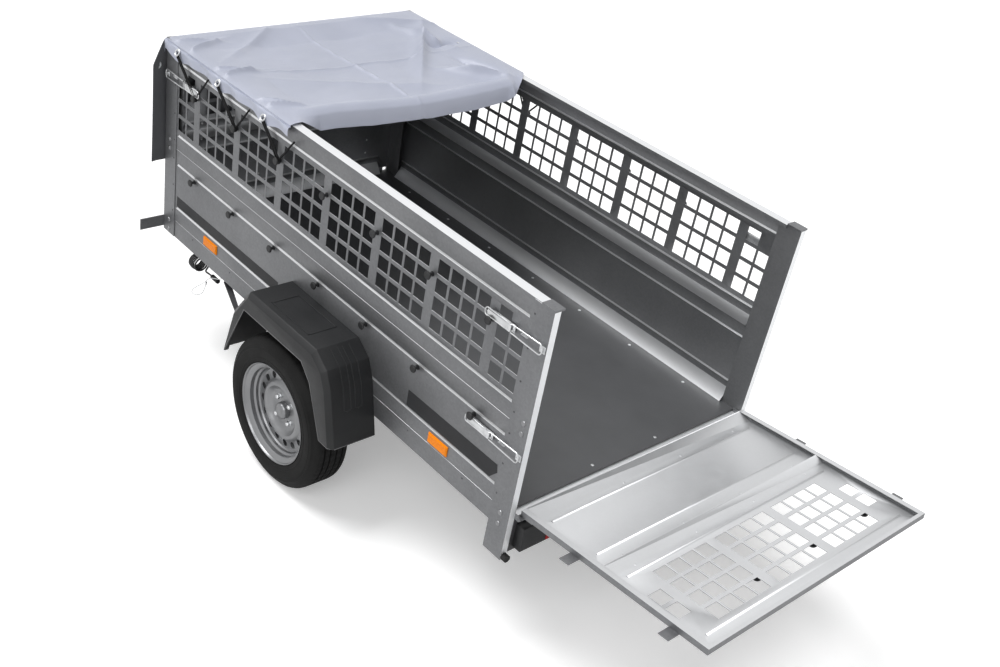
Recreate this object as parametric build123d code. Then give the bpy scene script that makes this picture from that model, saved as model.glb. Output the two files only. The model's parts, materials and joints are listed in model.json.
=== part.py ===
"""Small single-axle utility trailer: galvanised box with mesh boards, drop-down tailgate and ball coupling.

X runs forward to the coupling, Y to the left and Z up from the ground, all in millimetres.
While the pieces are made, X is measured from the rear face of the box. The export moves the
whole trailer so that the origin is on the ground, under the middle of its length.
"""
from build123d import *
import math
import os

# Load box
box_length = 2054.0
box_width = 1110.0
floor_height = 481.0          # ground to the top of the floor
floor_thickness = 9.0
floor_inset = 31.0            # the floor sheet starts this far from the rear
floor_rebate = 0.5            # its edges under the feet of the boards lie this much lower
sheet = 1.5                   # boards
plate = 3.0                   # posts and brackets
seat = 0.3                    # a piece lies this far from what carries it
over = 5.0                    # overrun of a cut past the faces it goes through
half_step = 0.5               # turns a many-sided outline so that it lies on a flat

# Heights on the walls, above the floor
sill_bottom = -60.0
sill_top = 11.0
board_split = 311.0           # lower board meets mesh board
mesh_bottom = 393.0
mesh_top = 627.5
rail_top = 712.0

# Pressed beads
bead_first = 71.0
bead_second = 252.0
bead_third = 370.0
bead_fourth = 651.0
bead_depth = 5.0
bead_half = 5.0
bead_clear = 6.0              # from the edge of a post to the end of a bead

# Folds of the boards
foot_depth = 35.0             # sloped foot on the floor
foot_rise = 45.0
hem_depth = 26.0              # sloped hem of the mesh board
hem_rise = 29.0
rail_width = 34.5
rail_lip = 12.0

# Sills and cross members
sill_depth = 40.0
sill_wall = 2.0
member_width = 50.0
member_shares = (0.0, 0.36, 0.66)       # places of the cross members along the box

# Corner posts
post_side = 79.0
post_depth = 23.6
leg_drop = 164.0              # rear posts reach this far under the floor
cap_length = 50.0
cap_width = 37.0
cap_height = 6.0
cap_grow = 2.0

# Mesh: groups of cut-outs between upright bars
bar_pitch = 269.7
cell_wide = 51.0
cell_tall = 48.5
web = 9.0
cells_across = 4
cells_up = 4
side_bars = 7
end_bars = 4
side_edge_rows = ((0, 1, 2, 3), (0, 1, 2))   # rows that are cut in the columns beyond the last bar
end_edge_rows = ((1, 2),)

# Cover knobs
knob_sides = 6
knob_stem_radius = 5.0
knob_head_radius = 11.0
knob_neck = 14.0              # from the foot to where the head starts to flare
knob_length = 23.0
knob_low = 237.0
knob_high = 567.0

# Toggle latches at the corners
latch_length = 170.0
latch_height = 24.0
latch_rise = 12.0
latch_hook = 50.0
latch_low = 218.0
latch_high = 587.0
latch_rear = 4.0              # from the rear face of a post to the hook's end

# Tailgate
gate_width = 1040.0
gate_top = 701.0
gate_bottom = -4.0
gate_depth = 20.0
gate_flange = 20.0
gate_open_tilt = 5.4          # degrees above level when open
hinge_behind = 15.0           # hinge axis behind the posts' rear faces
hinge_below = 2.0             # and under the floor's top
hinge_pin_radius = 5.0
hinge_running = 0.08
hinge_boss = 8.0
boss_sides = 12
hinge_length = 30.0
hinge_strap = 45.0
hinge_ear_gap = 5.5           # free width between the gate's side and the ear
hinge_ear_radius = 10.0
keeper_width = 36.0
keeper_reach = 42.0
hinge_pin_end = 2.0           # pin past the boss

# Wheels, hubs and axle
axle_x = 984.0
tyre_radius = 273.0
tyre_width = 152.0
tyre_gap = 26.0               # side of the box to the inner side of a tyre
tread_half = 52.0
tyre_shoulder = 254.0
tyre_flank = 222.0
tyre_gauge = 9.0
wheel_sides = 28
rim_radius = 182.0
rim_seat_radius = 163.0
rim_half = 61.0
rim_flange = 11.0
rim_gauge = 3.5
disc_crest_radius = 97.0
disc_crest = 32.0
disc_seat_radius = 72.0
disc_face = 13.0
disc_root = 16.0
vent_count = 16
vent_sides = 6
vent_circle = 127.0
vent_radius = 11.0
hub_sides = 16
hub_flange_radius = 68.0
hub_cap_radius = 30.0
hub_cap_reach = 40.0
drum_radius = 100.0
drum_inner = 38.0             # inner face of the drum from the middle of the tyre
drum_outer = 2.0
spindle_radius = 12.5
spindle_running = 0.08
spindle_short = 8.0           # spindle's end behind the cap's face
arm_reach = 120.0             # axle beam ahead of the wheel's centre
arm_thickness = 24.0
arm_clear = 6.0               # arm from the plane of the tyre's inner side
arm_radius = 26.0
arm_sides = 8
beam_drop = 120.0             # middle of the axle beam under the floor
beam_size = 60.0
saddle_length = 110.0

# Mudguards: rows of outline points from the middle of the top
guard_middle = 974.0          # along X
guard_reach = 177.0           # outer edge from the side of the box
guard_top = 173.0             # above the floor
guard_low = -129.0
guard_front = 337.0
guard_rear = 335.0
guard_wall = 3.5
guard_chamfer = 16.0
# Corners of the outline and of the wheel arch: (share of the reach along X, share of the height)
front_shares = ((0.585, 1.0), (0.845, 0.606), (1.0, 0.0))
rear_shares = ((0.567, 1.0), (0.76, 0.86), (0.85, 0.66), (0.96, 0.19), (1.0, 0.0))
arch_front_shares = ((0.62, 0.758), (0.95, -0.05))
arch_rear_shares = ((0.406, 0.765), (0.567, 0.593), (0.81, -0.05))
stay_width = 30.0
stay_ahead = 309.0            # its foot under the sill, ahead of the guard's front end
stay_spread = 118.0           # how far it runs outwards to the guard
stay_drop = 90.0
stay_share = 0.975            # where its end meets the guard

# Drawbar, coupling and jockey wheel
drawbar_reach = 930.0         # coupling's nose in front of the box
drawbar_size = 60.0
drawbar_wall = 3.0
drawbar_gap = 16.0            # from the axle beam to the tube's rear end
drawbar_foot = 30.0           # width of the flanges that hold it
coupling_length = 230.0
coupling_overlap = 60.0
coupling_half = 36.0
coupling_sides = 12
coupling_neck = 26.0          # half width behind the head
coupling_height = 62.0
coupling_drop = 4.0
handle_rise = 46.0
handle_length = 130.0
handle_half = 14.0
handle_gauge = 10.0
ball_radius = 25.4
ball_depth = 22.0
jockey_back = 330.0           # jockey wheel's axis behind the coupling's nose
jockey_side = 72.0            # to the right of the drawbar's middle
jockey_tube_radius = 24.0
jockey_tube_sides = 12
jockey_inner_radius = 12.0
jockey_top = 150.0            # above the floor
jockey_wheel_radius = 100.0
jockey_wheel_width = 50.0
jockey_wheel_sides = 28
jockey_tread = 12.0           # rounding of its tread
jockey_rise = 40.0            # mast's lower end above the wheel
jockey_trail = 38.0
jockey_pin_radius = 8.0
jockey_running = 0.08
jockey_insert = 50.0
fork_gauge = 4.0
fork_gap = 10.0
fork_drop = 5.0               # its top under the mast's lower end
fork_cap = 16.0
fork_half_length = 24.0
fork_eye = 16.0
clamp_length = 68.0
clamp_margin = 4.0
crank_reach = 90.0
crank_rise = 16.0
crank_half = 6.0

# Rear panel and lamps
panel_low = -145.0
panel_high = -14.0
panel_lip = 20.0
lamp_shares = (0.57, 0.93)    # inner and outer end of a lamp, of the panel's half length
lamp_height = 90.0
lamp_depth = 40.0
lamp_lift = 18.0
lamp_edge = 6.0
triangle_share = 0.42         # middle of a triangular reflector, of the panel's half length
triangle_side = 136.0
triangle_lift = 6.0
triangle_depth = 8.0
buffer_radius = 12.0
buffer_sides = 8
buffer_length = 18.0
buffer_height = -151.0
side_reflector_places = (344.0, 1705.0)
reflector_length = 92.0
reflector_height = 36.0
reflector_depth = 7.0
reflector_middle = 38.0

# Outrigger brackets at the front corners
bracket_reach = 100.0
bracket_low = -49.0
bracket_high = -3.0

# Cover over the front part of the box
cover_back = 1243.0
cover_thickness = 5.0
cover_drop = 62.0
cover_flap = 480.0

# Lamp cable and safety wire, which hang under the front end of the left sill
cord_sides = 5
cable_radius = 3.5
coil_front = 1862.0
coil_length = 68.0
coil_radius = 33.0
coil_sides = 14
coil_drop = 104.0             # middle of the coil under the floor's top
cord_inset = 24.0             # from the outer face of the sill
plug_radius = 9.0
plug_length = 42.0
plug_sides = 8
wire_radius = 1.5
wire_start = 1632.0
wire_out = 12.0               # outwards from the cable
wire_reach = 238.0            # the wire's length ahead
lead_turn = 60.0              # degrees below level where the lead leaves the coil
lead_reach = 48.0             # from the coil to the plug
round_share = 0.45            # of a run that the rounding of its corner takes
# Runs of the wire as shares of its reach: (ahead, outwards, down)
wire_shares = ((0, 0, 0), (0.02, 0, 0.08), (0.3, -0.013, 0.195), (0.44, -0.021, 0.279), (0.58, -0.025, 0.44),
               (0.96, -0.04, 0.76), (1, -0.042, 0.87), (0.83, -0.05, 0.82), (0.62, -0.046, 0.66),
               (0.545, -0.04, 0.44))

half_width = box_width / 2
z_floor = floor_height
side_face = half_width - plate               # outer face of the side boards
front_face = box_length - plate              # outer face of the front board
post_inner = half_width - post_depth         # inner face of the posts
panel_rear = plate + seat                    # lamp panel stands just inside the rear posts' faces
frame_rear = panel_rear + sill_wall          # sills and cross members start on the panel's front
track_half = half_width + tyre_gap + tyre_width / 2
z_hub = tyre_radius
bead_start = post_side + bead_clear
hinge_x = -hinge_behind
hinge_z = z_floor - hinge_below
gate_face = hinge_x + hinge_boss             # outer face of the gate when shut
gate_half = gate_width / 2


def folded(points, gauge):
    """Closed outline of a folded sheet: the points are its outer face, the sheet lies to their right."""
    inner = []
    last = len(points) - 1
    for i, (x, y) in enumerate(points):
        normals = []
        for a, b in ((i - 1, i), (i, i + 1)):
            if a >= 0 and b <= last:
                dx, dy = points[b][0] - points[a][0], points[b][1] - points[a][1]
                run = math.hypot(dx, dy)
                normals.append((dy / run, -dx / run))
        nx = sum(across for across, _ in normals)
        ny = sum(up for _, up in normals)
        size = math.hypot(nx, ny)
        nx, ny = nx / size, ny / size
        first_x, first_y = normals[0]
        mitre = gauge / (nx * first_x + ny * first_y)
        inner.append((x + nx * mitre, y + ny * mitre))
    return list(points) + inner[::-1]


def extruded_x(outline, start, end):
    """Solid whose section (y, z) is constant along X."""
    face = make_face(Polyline(*[(start, y, z) for y, z in outline], close=True))
    return extrude(face, amount=end - start, dir=(1, 0, 0))


def extruded_y(outline, start, end):
    """Solid whose section (x, z) is constant along Y."""
    face = make_face(Polyline(*[(x, start, z) for x, z in outline], close=True))
    return extrude(face, amount=end - start, dir=(0, 1, 0))


def extruded_z(outline, start, end):
    """Solid whose section (x, y) is constant along Z."""
    face = make_face(Polyline(*[(x, y, start) for x, y in outline], close=True))
    return extrude(face, amount=end - start, dir=(0, 0, 1))


def block(x_pair, y_pair, z_pair):
    """Box between two corners."""
    size = [b - a for a, b in (x_pair, y_pair, z_pair)]
    middle = [(a + b) / 2 for a, b in (x_pair, y_pair, z_pair)]
    return Pos(*middle) * Box(*size)


def rod_y(x, z, radius, start, end):
    """Round bar along Y."""
    return Pos(x, (start + end) / 2, z) * Rot(90, 0, 0) * Cylinder(radius, abs(end - start))


def rod_z(x, y, radius, start, end):
    """Round bar along Z."""
    return Pos(x, y, (start + end) / 2) * Cylinder(radius, abs(end - start))


def regular(across, up, radius, sides):
    """Outline of a regular polygon about a point; its flats lie at the radius."""
    reach = radius / math.cos(math.pi / sides)
    turns = [math.tau * (i + half_step) / sides for i in range(sides)]
    return [(across + reach * math.cos(t), up + reach * math.sin(t)) for t in turns]


def ring_points(radius, sides, along):
    """Corners of a regular polygon about the Y axis."""
    turns = [math.tau * i / sides for i in range(sides)]
    return [Vector(radius * math.cos(t), along, radius * math.sin(t)) for t in turns]


def turned(points, sides):
    """Ring with flat sides about the Y axis: points are (radius, y), a closed outline."""
    rings = [ring_points(radius, sides, along) for radius, along in points]
    faces = []
    for here, there in zip(rings, rings[1:] + rings[:1]):
        for i in range(sides):
            j = (i + 1) % sides
            faces.append(Face(Wire.make_polygon([here[i], here[j], there[j], there[i]])))
    return Solid(Shell(faces))


def spindle_form(points, sides):
    """Full body with flat sides about the Y axis: points are (radius, y) from one end to the other."""
    rings = [ring_points(radius, sides, along) for radius, along in points]
    faces = [Face(Wire.make_polygon(rings[0])), Face(Wire.make_polygon(rings[-1]))]
    for here, there in zip(rings, rings[1:]):
        for i in range(sides):
            j = (i + 1) % sides
            faces.append(Face(Wire.make_polygon([here[i], here[j], there[j], there[i]])))
    return Solid(Shell(faces))


def right_of(solid):
    """The same piece on the other side."""
    return mirror(solid, about=Plane.XZ)


nodes = {}


def add(name, *solids):
    """Keep the solids of a named piece."""
    nodes[name] = list(solids)


# Walls: an outline of (depth from the outer face, height above the floor) runs along each of them
def side_prism(outline, start, end):
    """Piece of the left wall from start to end along X."""
    return extruded_x([(side_face - depth, z_floor + height) for depth, height in outline], start, end)


def front_prism(outline, start, end):
    """Piece of the front wall from start to end along Y."""
    return extruded_y([(front_face - depth, z_floor + height) for depth, height in outline], start, end)


def gate_prism(outline, start, end):
    """Piece of the shut gate from start to end along Y."""
    return extruded_y([(gate_face + depth, z_floor + height) for depth, height in outline], start, end)


def strip(depth_pair, height_pair):
    """Outline of a flat strip."""
    near, far = depth_pair
    low, high = height_pair
    return [(near, low), (near, high), (far, high), (far, low)]


def beaded(prism, wall, heights, start, end):
    """Wall with beads pressed inwards between start and end."""
    for height in heights:
        low, high = height - bead_half, height + bead_half
        wall += prism([(sheet, low), (sheet + bead_depth, height), (sheet, high)], start, end)
        wall -= prism([(0, low), (bead_depth, height), (0, high)], start + sheet, end - sheet)
    return wall


def hem(depth, low, high, back):
    """Outline of a sloped hem that runs from the wall down to its foot and back to the wall."""
    return folded([(sheet, high), (depth, low), (back, low)], sheet)


def rail_section(width, top):
    """Outline of a flat rail with a lip down each side."""
    return folded([(0, top - rail_lip), (0, top), (width, top), (width, top - rail_lip)], sheet)


def mesh_cells(prism, middle, bars, edge_rows):
    """Cut-outs of a mesh board: full groups between the bars, and the columns beyond the last bars."""
    step = cell_wide + web
    group = cells_across * step - web
    rows = range(cells_up)
    columns = []
    for gap in range(bars - 1):
        first = middle + (gap - (bars - 2) / 2) * bar_pitch - group / 2
        columns += [(first + i * step, rows) for i in range(cells_across)]
    edge = (bars - 2) / 2 * bar_pitch + group / 2 + (bar_pitch - group)
    for i, cut_rows in enumerate(edge_rows):
        columns.append((middle + edge + i * step, cut_rows))
        columns.append((middle - edge - i * step - cell_wide, cut_rows))
    row_step = (mesh_top - mesh_bottom - cell_tall) / (cells_up - 1)
    cells = []
    for start, cut_rows in columns:
        for row in cut_rows:
            low = mesh_bottom + row * row_step
            cell = strip((-over, sheet + over), (low, low + cell_tall))
            cells.append(prism(cell, start, start + cell_wide))
    return cells


def lower_board(prism, span, bead_span):
    """Lower board: wall with two beads, flange on top and sloped foot on the floor."""
    wall = prism(strip((0, sheet), (sill_top + seat, board_split)), *span)
    wall = beaded(prism, wall, (bead_first, bead_second), *bead_span)
    wall += prism(strip((0, hem_depth), (board_split - sheet, board_split)), *bead_span)
    return wall + prism(hem(foot_depth, seat, foot_rise, sill_wall + seat), *bead_span)


def mesh_board(prism, span, bead_span, rail_span, cells):
    """Mesh board: wall with two beads and cut-outs, sloped hem below and flat rail along the top."""
    low = board_split + seat
    wall = prism(strip((0, sheet), (low, rail_top - sheet)), *span)
    wall = beaded(prism, wall, (bead_third, bead_fourth), *bead_span)
    wall += prism(hem(hem_depth, low, board_split + hem_rise, sheet), *bead_span)
    wall += prism(rail_section(rail_width, rail_top), *rail_span)
    return wall - cells


# Sills, cross members and floor
frame_front = front_face
flange_depth = (0, sill_depth)
sill_section = (strip((0, sill_wall), (sill_bottom, sill_top)),
                strip(flange_depth, (sill_bottom, sill_bottom + sill_wall)),
                strip(flange_depth, (-floor_thickness - sill_wall, -floor_thickness)))
sill = side_prism(sill_section[0], frame_rear, frame_front)
for section in sill_section[1:]:
    sill += side_prism(section, frame_rear, frame_front)
add("sill_left", sill)
add("sill_right", right_of(sill))

member_half = side_face - sill_depth - seat
member_low = z_floor + sill_bottom
member_high = z_floor - floor_thickness
members = []
for share in member_shares:
    x = frame_rear + share * (frame_front - frame_rear - member_width)
    section = folded([(x + member_width, member_low), (x, member_low), (x, member_high),
                      (x + member_width, member_high)], sill_wall)
    members.append(extruded_y(section, -member_half, member_half))
front_member = front_prism(sill_section[0], -member_half, member_half)
for section in sill_section[1:]:
    front_member += front_prism(section, -member_half, member_half)
add("cross_members", *members, front_member)

floor_half = post_inner - seat
floor_step = z_floor - floor_rebate
floor_sheet = block((floor_inset, front_face - sill_wall - seat), (-floor_half, floor_half),
                    (z_floor - floor_thickness, floor_step))
free_half = side_face - foot_depth - seat
floor_sheet += block((floor_inset, front_face - foot_depth - seat), (-free_half, free_half),
                     (floor_step, z_floor))
add("floor_panel", floor_sheet)

# Boards
side_span = (plate, front_face)
side_beads = (bead_start, box_length - bead_start)
rail_start = cap_length + seat
side_lower = lower_board(side_prism, side_span, side_beads)
side_cells = mesh_cells(side_prism, box_length / 2, side_bars, side_edge_rows)
side_upper = mesh_board(side_prism, side_span, side_beads, (rail_start, box_length - rail_start), side_cells)
add("lower_board_left", side_lower)
add("lower_board_right", right_of(side_lower))
add("upper_board_left", side_upper)
add("upper_board_right", right_of(side_upper))

front_half = post_inner - seat
front_span = (-front_half, front_half)
bead_half_span = front_half - post_side + post_depth
front_beads = (-bead_half_span, bead_half_span)
front_cells = mesh_cells(front_prism, 0, end_bars, end_edge_rows)
add("lower_board_front", lower_board(front_prism, front_span, front_beads))
front_rail = half_width + cap_grow - cap_width - seat
add("upper_board_front", mesh_board(front_prism, front_span, front_beads, (-front_rail, front_rail),
                                    front_cells))


# Posts: folded channels that take the ends of the side boards
def post_outline(x_outer, toward, inner_leaf):
    """Plan of a left post; toward is 1 where its leaves run forward. The legs have no inner leaf."""
    points = [(x_outer + toward * bead_start, post_inner)] if inner_leaf else []
    points += [(x_outer, post_inner), (x_outer, half_width), (x_outer + toward * post_side, half_width)]
    return folded(points if toward > 0 else points[::-1], plate)


post_top = rail_top - sheet
for end, x_outer, toward, foot in (("rear", 0.0, 1, -leg_drop), ("front", box_length, -1, sill_bottom)):
    upper_part = post_outline(x_outer, toward, True)
    lower = extruded_z(upper_part, z_floor - floor_thickness, z_floor + board_split)
    lower += extruded_z(post_outline(x_outer, toward, False), z_floor + foot, z_floor - floor_thickness)
    upper = extruded_z(upper_part, z_floor + board_split, z_floor + post_top)
    for side, turn in (("left", lambda solid: solid), ("right", right_of)):
        add(f"post_{end}_{side}", turn(lower))
        add(f"extension_{end}_{side}", turn(upper))

caps = []
for x_outer, toward in ((0.0, 1), (box_length, -1)):
    cap = block(sorted((x_outer - toward * cap_grow, x_outer + toward * cap_length)),
                (half_width + cap_grow - cap_width, half_width + cap_grow),
                (z_floor + post_top, z_floor + post_top + cap_height))
    caps += [cap, right_of(cap)]
add("post_caps", *caps)


# Cover knobs on the boards of each side and on the gate
def knob():
    """Knob along Y from its foot at the origin."""
    return spindle_form([(knob_stem_radius, 0), (knob_stem_radius, knob_neck),
                         (knob_head_radius, knob_length)], knob_sides)


knobs = []
for bar in range(side_bars):
    x = box_length / 2 + (bar - (side_bars - 1) / 2) * bar_pitch
    for height in (knob_low, knob_high):
        piece = Pos(x, side_face, z_floor + height) * knob()
        knobs += [piece, right_of(piece)]
add("cover_knobs", *knobs)


# Toggle latches: foot plate on the board, lever over it and hook towards the corner
def latch(x_end, toward, height):
    """Latch on the left wall whose hook ends at x_end; toward is 1 where it runs forward."""
    z = z_floor + height
    foot = [x_end + toward * latch_hook, x_end + toward * latch_length]
    body = extruded_x([(half_width + seat, z - latch_height / 2), (half_width + seat, z + latch_height / 2),
                       (half_width + latch_rise, z + latch_height / 4),
                       (half_width + latch_rise, z - latch_height / 4)], min(foot), max(foot))
    hook = [x_end, x_end + toward * latch_hook]
    return body + block((min(hook), max(hook)), (half_width + latch_rise / 2, half_width + latch_rise),
                        (z - latch_height / 4, z + latch_height / 4))


latches = []
for x_end, toward, height in ((latch_rear, 1, latch_low), (latch_rear, 1, latch_high),
                              (box_length - latch_rear, -1, latch_high)):
    piece = latch(x_end, toward, height)
    latches += [piece, right_of(piece)]
add("toggle_latches", *latches)

# Side reflectors on the sills' upper bands
reflectors = []
for x in side_reflector_places:
    z = z_floor + reflector_middle
    lens = block((x - reflector_length / 2, x + reflector_length / 2),
                 (side_face, side_face + reflector_depth),
                 (z - reflector_height / 2, z + reflector_height / 2))
    lens = chamfer(lens.faces().sort_by(Axis.Y)[-1].edges(), reflector_depth / 2)
    reflectors += [lens, right_of(lens)]
add("side_reflectors", *reflectors)


# Mudguards
def guard_points(rear_table, front_table, inset):
    """Outline seen from the side, from the rear end over the top to the front end, drawn in by inset."""
    height = guard_top - guard_low
    corners = [(inset - guard_rear * reach, rise) for reach, rise in rear_table[::-1]]
    corners += [(guard_front * reach - inset, rise) for reach, rise in front_table]
    return [(guard_middle + along, z_floor + guard_low + height * rise - inset) for along, rise in corners]


guard_outer = half_width + guard_reach
guard = extruded_y(guard_points(rear_shares, front_shares, 0), side_face, guard_outer)
outer_face = guard.faces().sort_by(Axis.Y)[-1]
guard_foot = z_floor + guard_low + guard_chamfer
guard = chamfer([edge for edge in outer_face.edges() if edge.center().Z > guard_foot], guard_chamfer)
guard -= extruded_y(guard_points(rear_shares, front_shares, guard_wall), side_face - over,
                    guard_outer - guard_chamfer)
guard -= extruded_y(guard_points(rear_shares, front_shares, guard_wall + guard_chamfer), side_face - over,
                    guard_outer - guard_wall)
guard -= extruded_y(guard_points(arch_rear_shares, arch_front_shares, 0), guard_outer - guard_chamfer,
                    guard_outer + over)
add("mudguard_left", guard)
add("mudguard_right", right_of(guard))

# Stays from the sills to the front ends of the mudguards
stay_foot_x = guard_middle + guard_front + stay_ahead
stay_end_x = guard_middle + guard_front * stay_share + seat
stay_y = side_face - sill_depth / 2
stay_low = z_floor - stay_drop
stay_half = stay_width / 2
stay = extruded_z([(stay_foot_x + stay_half, stay_y - stay_half), (stay_foot_x + stay_half, stay_y),
                   (stay_end_x, stay_y + stay_spread), (stay_end_x, stay_y + stay_spread - stay_half),
                   (stay_foot_x - stay_half, stay_y - stay_half)], stay_low, stay_low + plate)
stay += block((stay_foot_x - stay_half, stay_foot_x + stay_half),
              (stay_y - stay_half, stay_y - stay_half + plate), (stay_low, z_floor + sill_bottom))
add("mudguard_stays", stay, right_of(stay))

# Axle: beam with its saddles under the sills, trailing arms and spindles
beam_x = axle_x + arm_reach
beam_z = z_floor - beam_drop
arm_outer = half_width + tyre_gap - arm_clear
arm_inner = arm_outer - arm_thickness
beam_side = (beam_x - beam_size / 2, beam_x + beam_size / 2)
beam_rise = (beam_z - beam_size / 2, beam_z + beam_size / 2)
beam_end = arm_inner - seat
add("axle_beam", block(beam_side, (-beam_end, beam_end), beam_rise))
saddle = block((beam_x - saddle_length / 2, beam_x + saddle_length / 2),
               (side_face - sill_depth, beam_end), (beam_z + beam_size / 2, z_floor + sill_bottom))
add("axle_saddles", saddle, right_of(saddle))
arm = extruded_y(regular(beam_x, beam_z, arm_radius, arm_sides), arm_inner, arm_outer)
arm += extruded_y(regular(axle_x, z_hub, arm_radius, arm_sides), arm_inner, arm_outer)
lean = math.atan2(beam_z - z_hub, beam_x - axle_x)
side_x, side_z = -arm_radius * math.sin(lean), arm_radius * math.cos(lean)
arm += extruded_y([(beam_x + side_x, beam_z + side_z), (axle_x + side_x, z_hub + side_z),
                   (axle_x - side_x, z_hub - side_z), (beam_x - side_x, beam_z - side_z)],
                  arm_inner, arm_outer)
hub_outer = track_half + hub_cap_reach
arm += rod_y(axle_x, z_hub, spindle_radius, arm_outer, hub_outer - spindle_short)
add("axle_arm_left", arm)
add("axle_arm_right", right_of(arm))

# Wheels: drum with its cap, rim with a domed disc, and a hollow tyre
on_axle = Pos(axle_x, track_half, z_hub)
hub = on_axle * spindle_form([(drum_radius, -drum_inner), (drum_radius, -drum_outer),
                              (hub_flange_radius, disc_face - rim_gauge - seat),
                              (hub_cap_radius, disc_face - rim_gauge - seat),
                              (hub_cap_radius, hub_cap_reach)], hub_sides)
hub -= rod_y(axle_x, z_hub, spindle_radius + spindle_running, track_half - drum_inner - over,
             hub_outer + over)

barrel = rim_seat_radius - rim_gauge
flange_edge = rim_half + rim_flange
disc_hole = hub_cap_radius + 2 * seat
rim = on_axle * turned([(rim_radius, flange_edge), (rim_radius, flange_edge - rim_gauge),
                        (rim_seat_radius, rim_half), (rim_seat_radius, -rim_half),
                        (rim_radius, rim_gauge - flange_edge), (rim_radius, -flange_edge),
                        (barrel, -rim_half), (barrel, disc_root - rim_gauge),
                        (disc_crest_radius, disc_crest - rim_gauge),
                        (disc_seat_radius, disc_face - rim_gauge), (disc_hole, disc_face - rim_gauge),
                        (disc_hole, disc_face), (disc_seat_radius, disc_face),
                        (disc_crest_radius, disc_crest), (barrel, disc_root), (barrel, rim_half)],
                       wheel_sides)
vents = []
for vent in range(vent_count):
    turn = math.tau * (vent + half_step) / vent_count
    hole = regular(axle_x + vent_circle * math.cos(turn), z_hub + vent_circle * math.sin(turn), vent_radius,
                   vent_sides)
    vents.append(extruded_y(hole, track_half + disc_face - rim_gauge, track_half + disc_crest))
rim -= vents

tyre_half = tyre_width / 2
bead_radius = rim_seat_radius + seat
bead_side = rim_half - seat
tyre = on_axle * turned([(bead_radius, bead_side), (rim_radius, flange_edge - rim_gauge - seat),
                         (tyre_flank, tyre_half), (tyre_shoulder, tyre_half - tyre_gauge),
                         (tyre_radius, tread_half), (tyre_radius, -tread_half),
                         (tyre_shoulder, tyre_gauge - tyre_half), (tyre_flank, -tyre_half),
                         (rim_radius, rim_gauge + seat - flange_edge), (bead_radius, -bead_side),
                         (bead_radius, tyre_gauge - bead_side), (tyre_shoulder, -tread_half),
                         (tyre_shoulder, tread_half), (bead_radius, bead_side - tyre_gauge)], wheel_sides)
for name, solid in (("hub", hub), ("rim", rim), ("tyre", tyre)):
    add(f"{name}_left", solid)
    add(f"{name}_right", right_of(solid))

# Drawbar under the cross members, with flanges that hold it
nose_x = box_length + drawbar_reach
tube_high = z_floor + sill_bottom
tube_low = tube_high - drawbar_size
tube_back = beam_x + beam_size / 2 + drawbar_gap
tube_end = nose_x - coupling_length + coupling_overlap
tube_half = drawbar_size / 2
tube = block((tube_back, tube_end), (-tube_half, tube_half), (tube_low, tube_high))
tube_inner = tube_half - drawbar_wall
tube -= block((tube_back - over, tube_end + over), (-tube_inner, tube_inner),
              (tube_low + drawbar_wall, tube_high - drawbar_wall))
add("drawbar", tube)
*_, last_share = member_shares
held_x = frame_rear + last_share * (frame_front - frame_rear - member_width)
brackets = []
for x in (held_x, frame_front - sill_depth):
    angle = folded([(tube_half, tube_low), (tube_half, tube_high), (tube_half + drawbar_foot, tube_high)],
                   plate)
    piece = extruded_x(angle, x, x + sill_depth)
    brackets += [piece, right_of(piece)]
add("drawbar_brackets", *brackets)

# Coupling with its handle and the socket for the ball
coupling_low = tube_low - coupling_drop
coupling_high = coupling_low + coupling_height
head_x = nose_x - coupling_half
coupling = extruded_z(regular(head_x, 0, coupling_half, coupling_sides), coupling_low, coupling_high)
coupling += block((tube_end + seat, head_x), (-coupling_neck, coupling_neck), (coupling_low, coupling_high))
handle_high = coupling_high + handle_rise
handle = [(head_x, coupling_high), (head_x, coupling_high + handle_gauge),
          (head_x - handle_length, handle_high), (head_x - handle_length, handle_high - handle_gauge),
          (head_x - handle_rise, coupling_high)]
coupling += extruded_y(handle, -handle_half, handle_half)
coupling -= rod_z(head_x, 0, ball_radius, coupling_low - over, coupling_low + ball_depth)
add("coupling", coupling)

# Jockey wheel: clamp and mast on the drawbar, fork that swivels and wheel that rolls
jockey_x = nose_x - jockey_back
jockey_y = -jockey_side
jockey_low = 2 * jockey_wheel_radius + jockey_rise
mast_high = z_floor + jockey_top
clamp = block((jockey_x - clamp_length / 2, jockey_x + clamp_length / 2),
              (jockey_y - jockey_tube_radius - plate, -tube_half),
              (tube_low + clamp_margin, tube_high - clamp_margin))
clamp_hole = regular(jockey_x, jockey_y, jockey_tube_radius + seat, jockey_tube_sides)
clamp -= extruded_z(clamp_hole, tube_low - over, tube_high + over)
add("jockey_clamp", clamp)
mast = extruded_z(regular(jockey_x, jockey_y, jockey_tube_radius, jockey_tube_sides), jockey_low, mast_high)
crank_low = mast_high + crank_rise
crank_y = (jockey_y - crank_half, jockey_y + crank_half)
crank_end = jockey_x - crank_reach
mast += block((jockey_x - crank_half, jockey_x + crank_half), crank_y, (mast_high, crank_low))
mast += block((crank_end, jockey_x + crank_half), crank_y, (crank_low, crank_low + 2 * crank_half))
mast += block((crank_end, crank_end + 2 * crank_half), crank_y, (crank_low, crank_low + handle_rise))
mast -= rod_z(jockey_x, jockey_y, jockey_inner_radius + jockey_running, jockey_low - over,
              jockey_low + jockey_insert + over)
add("jockey_mast", mast)

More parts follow.
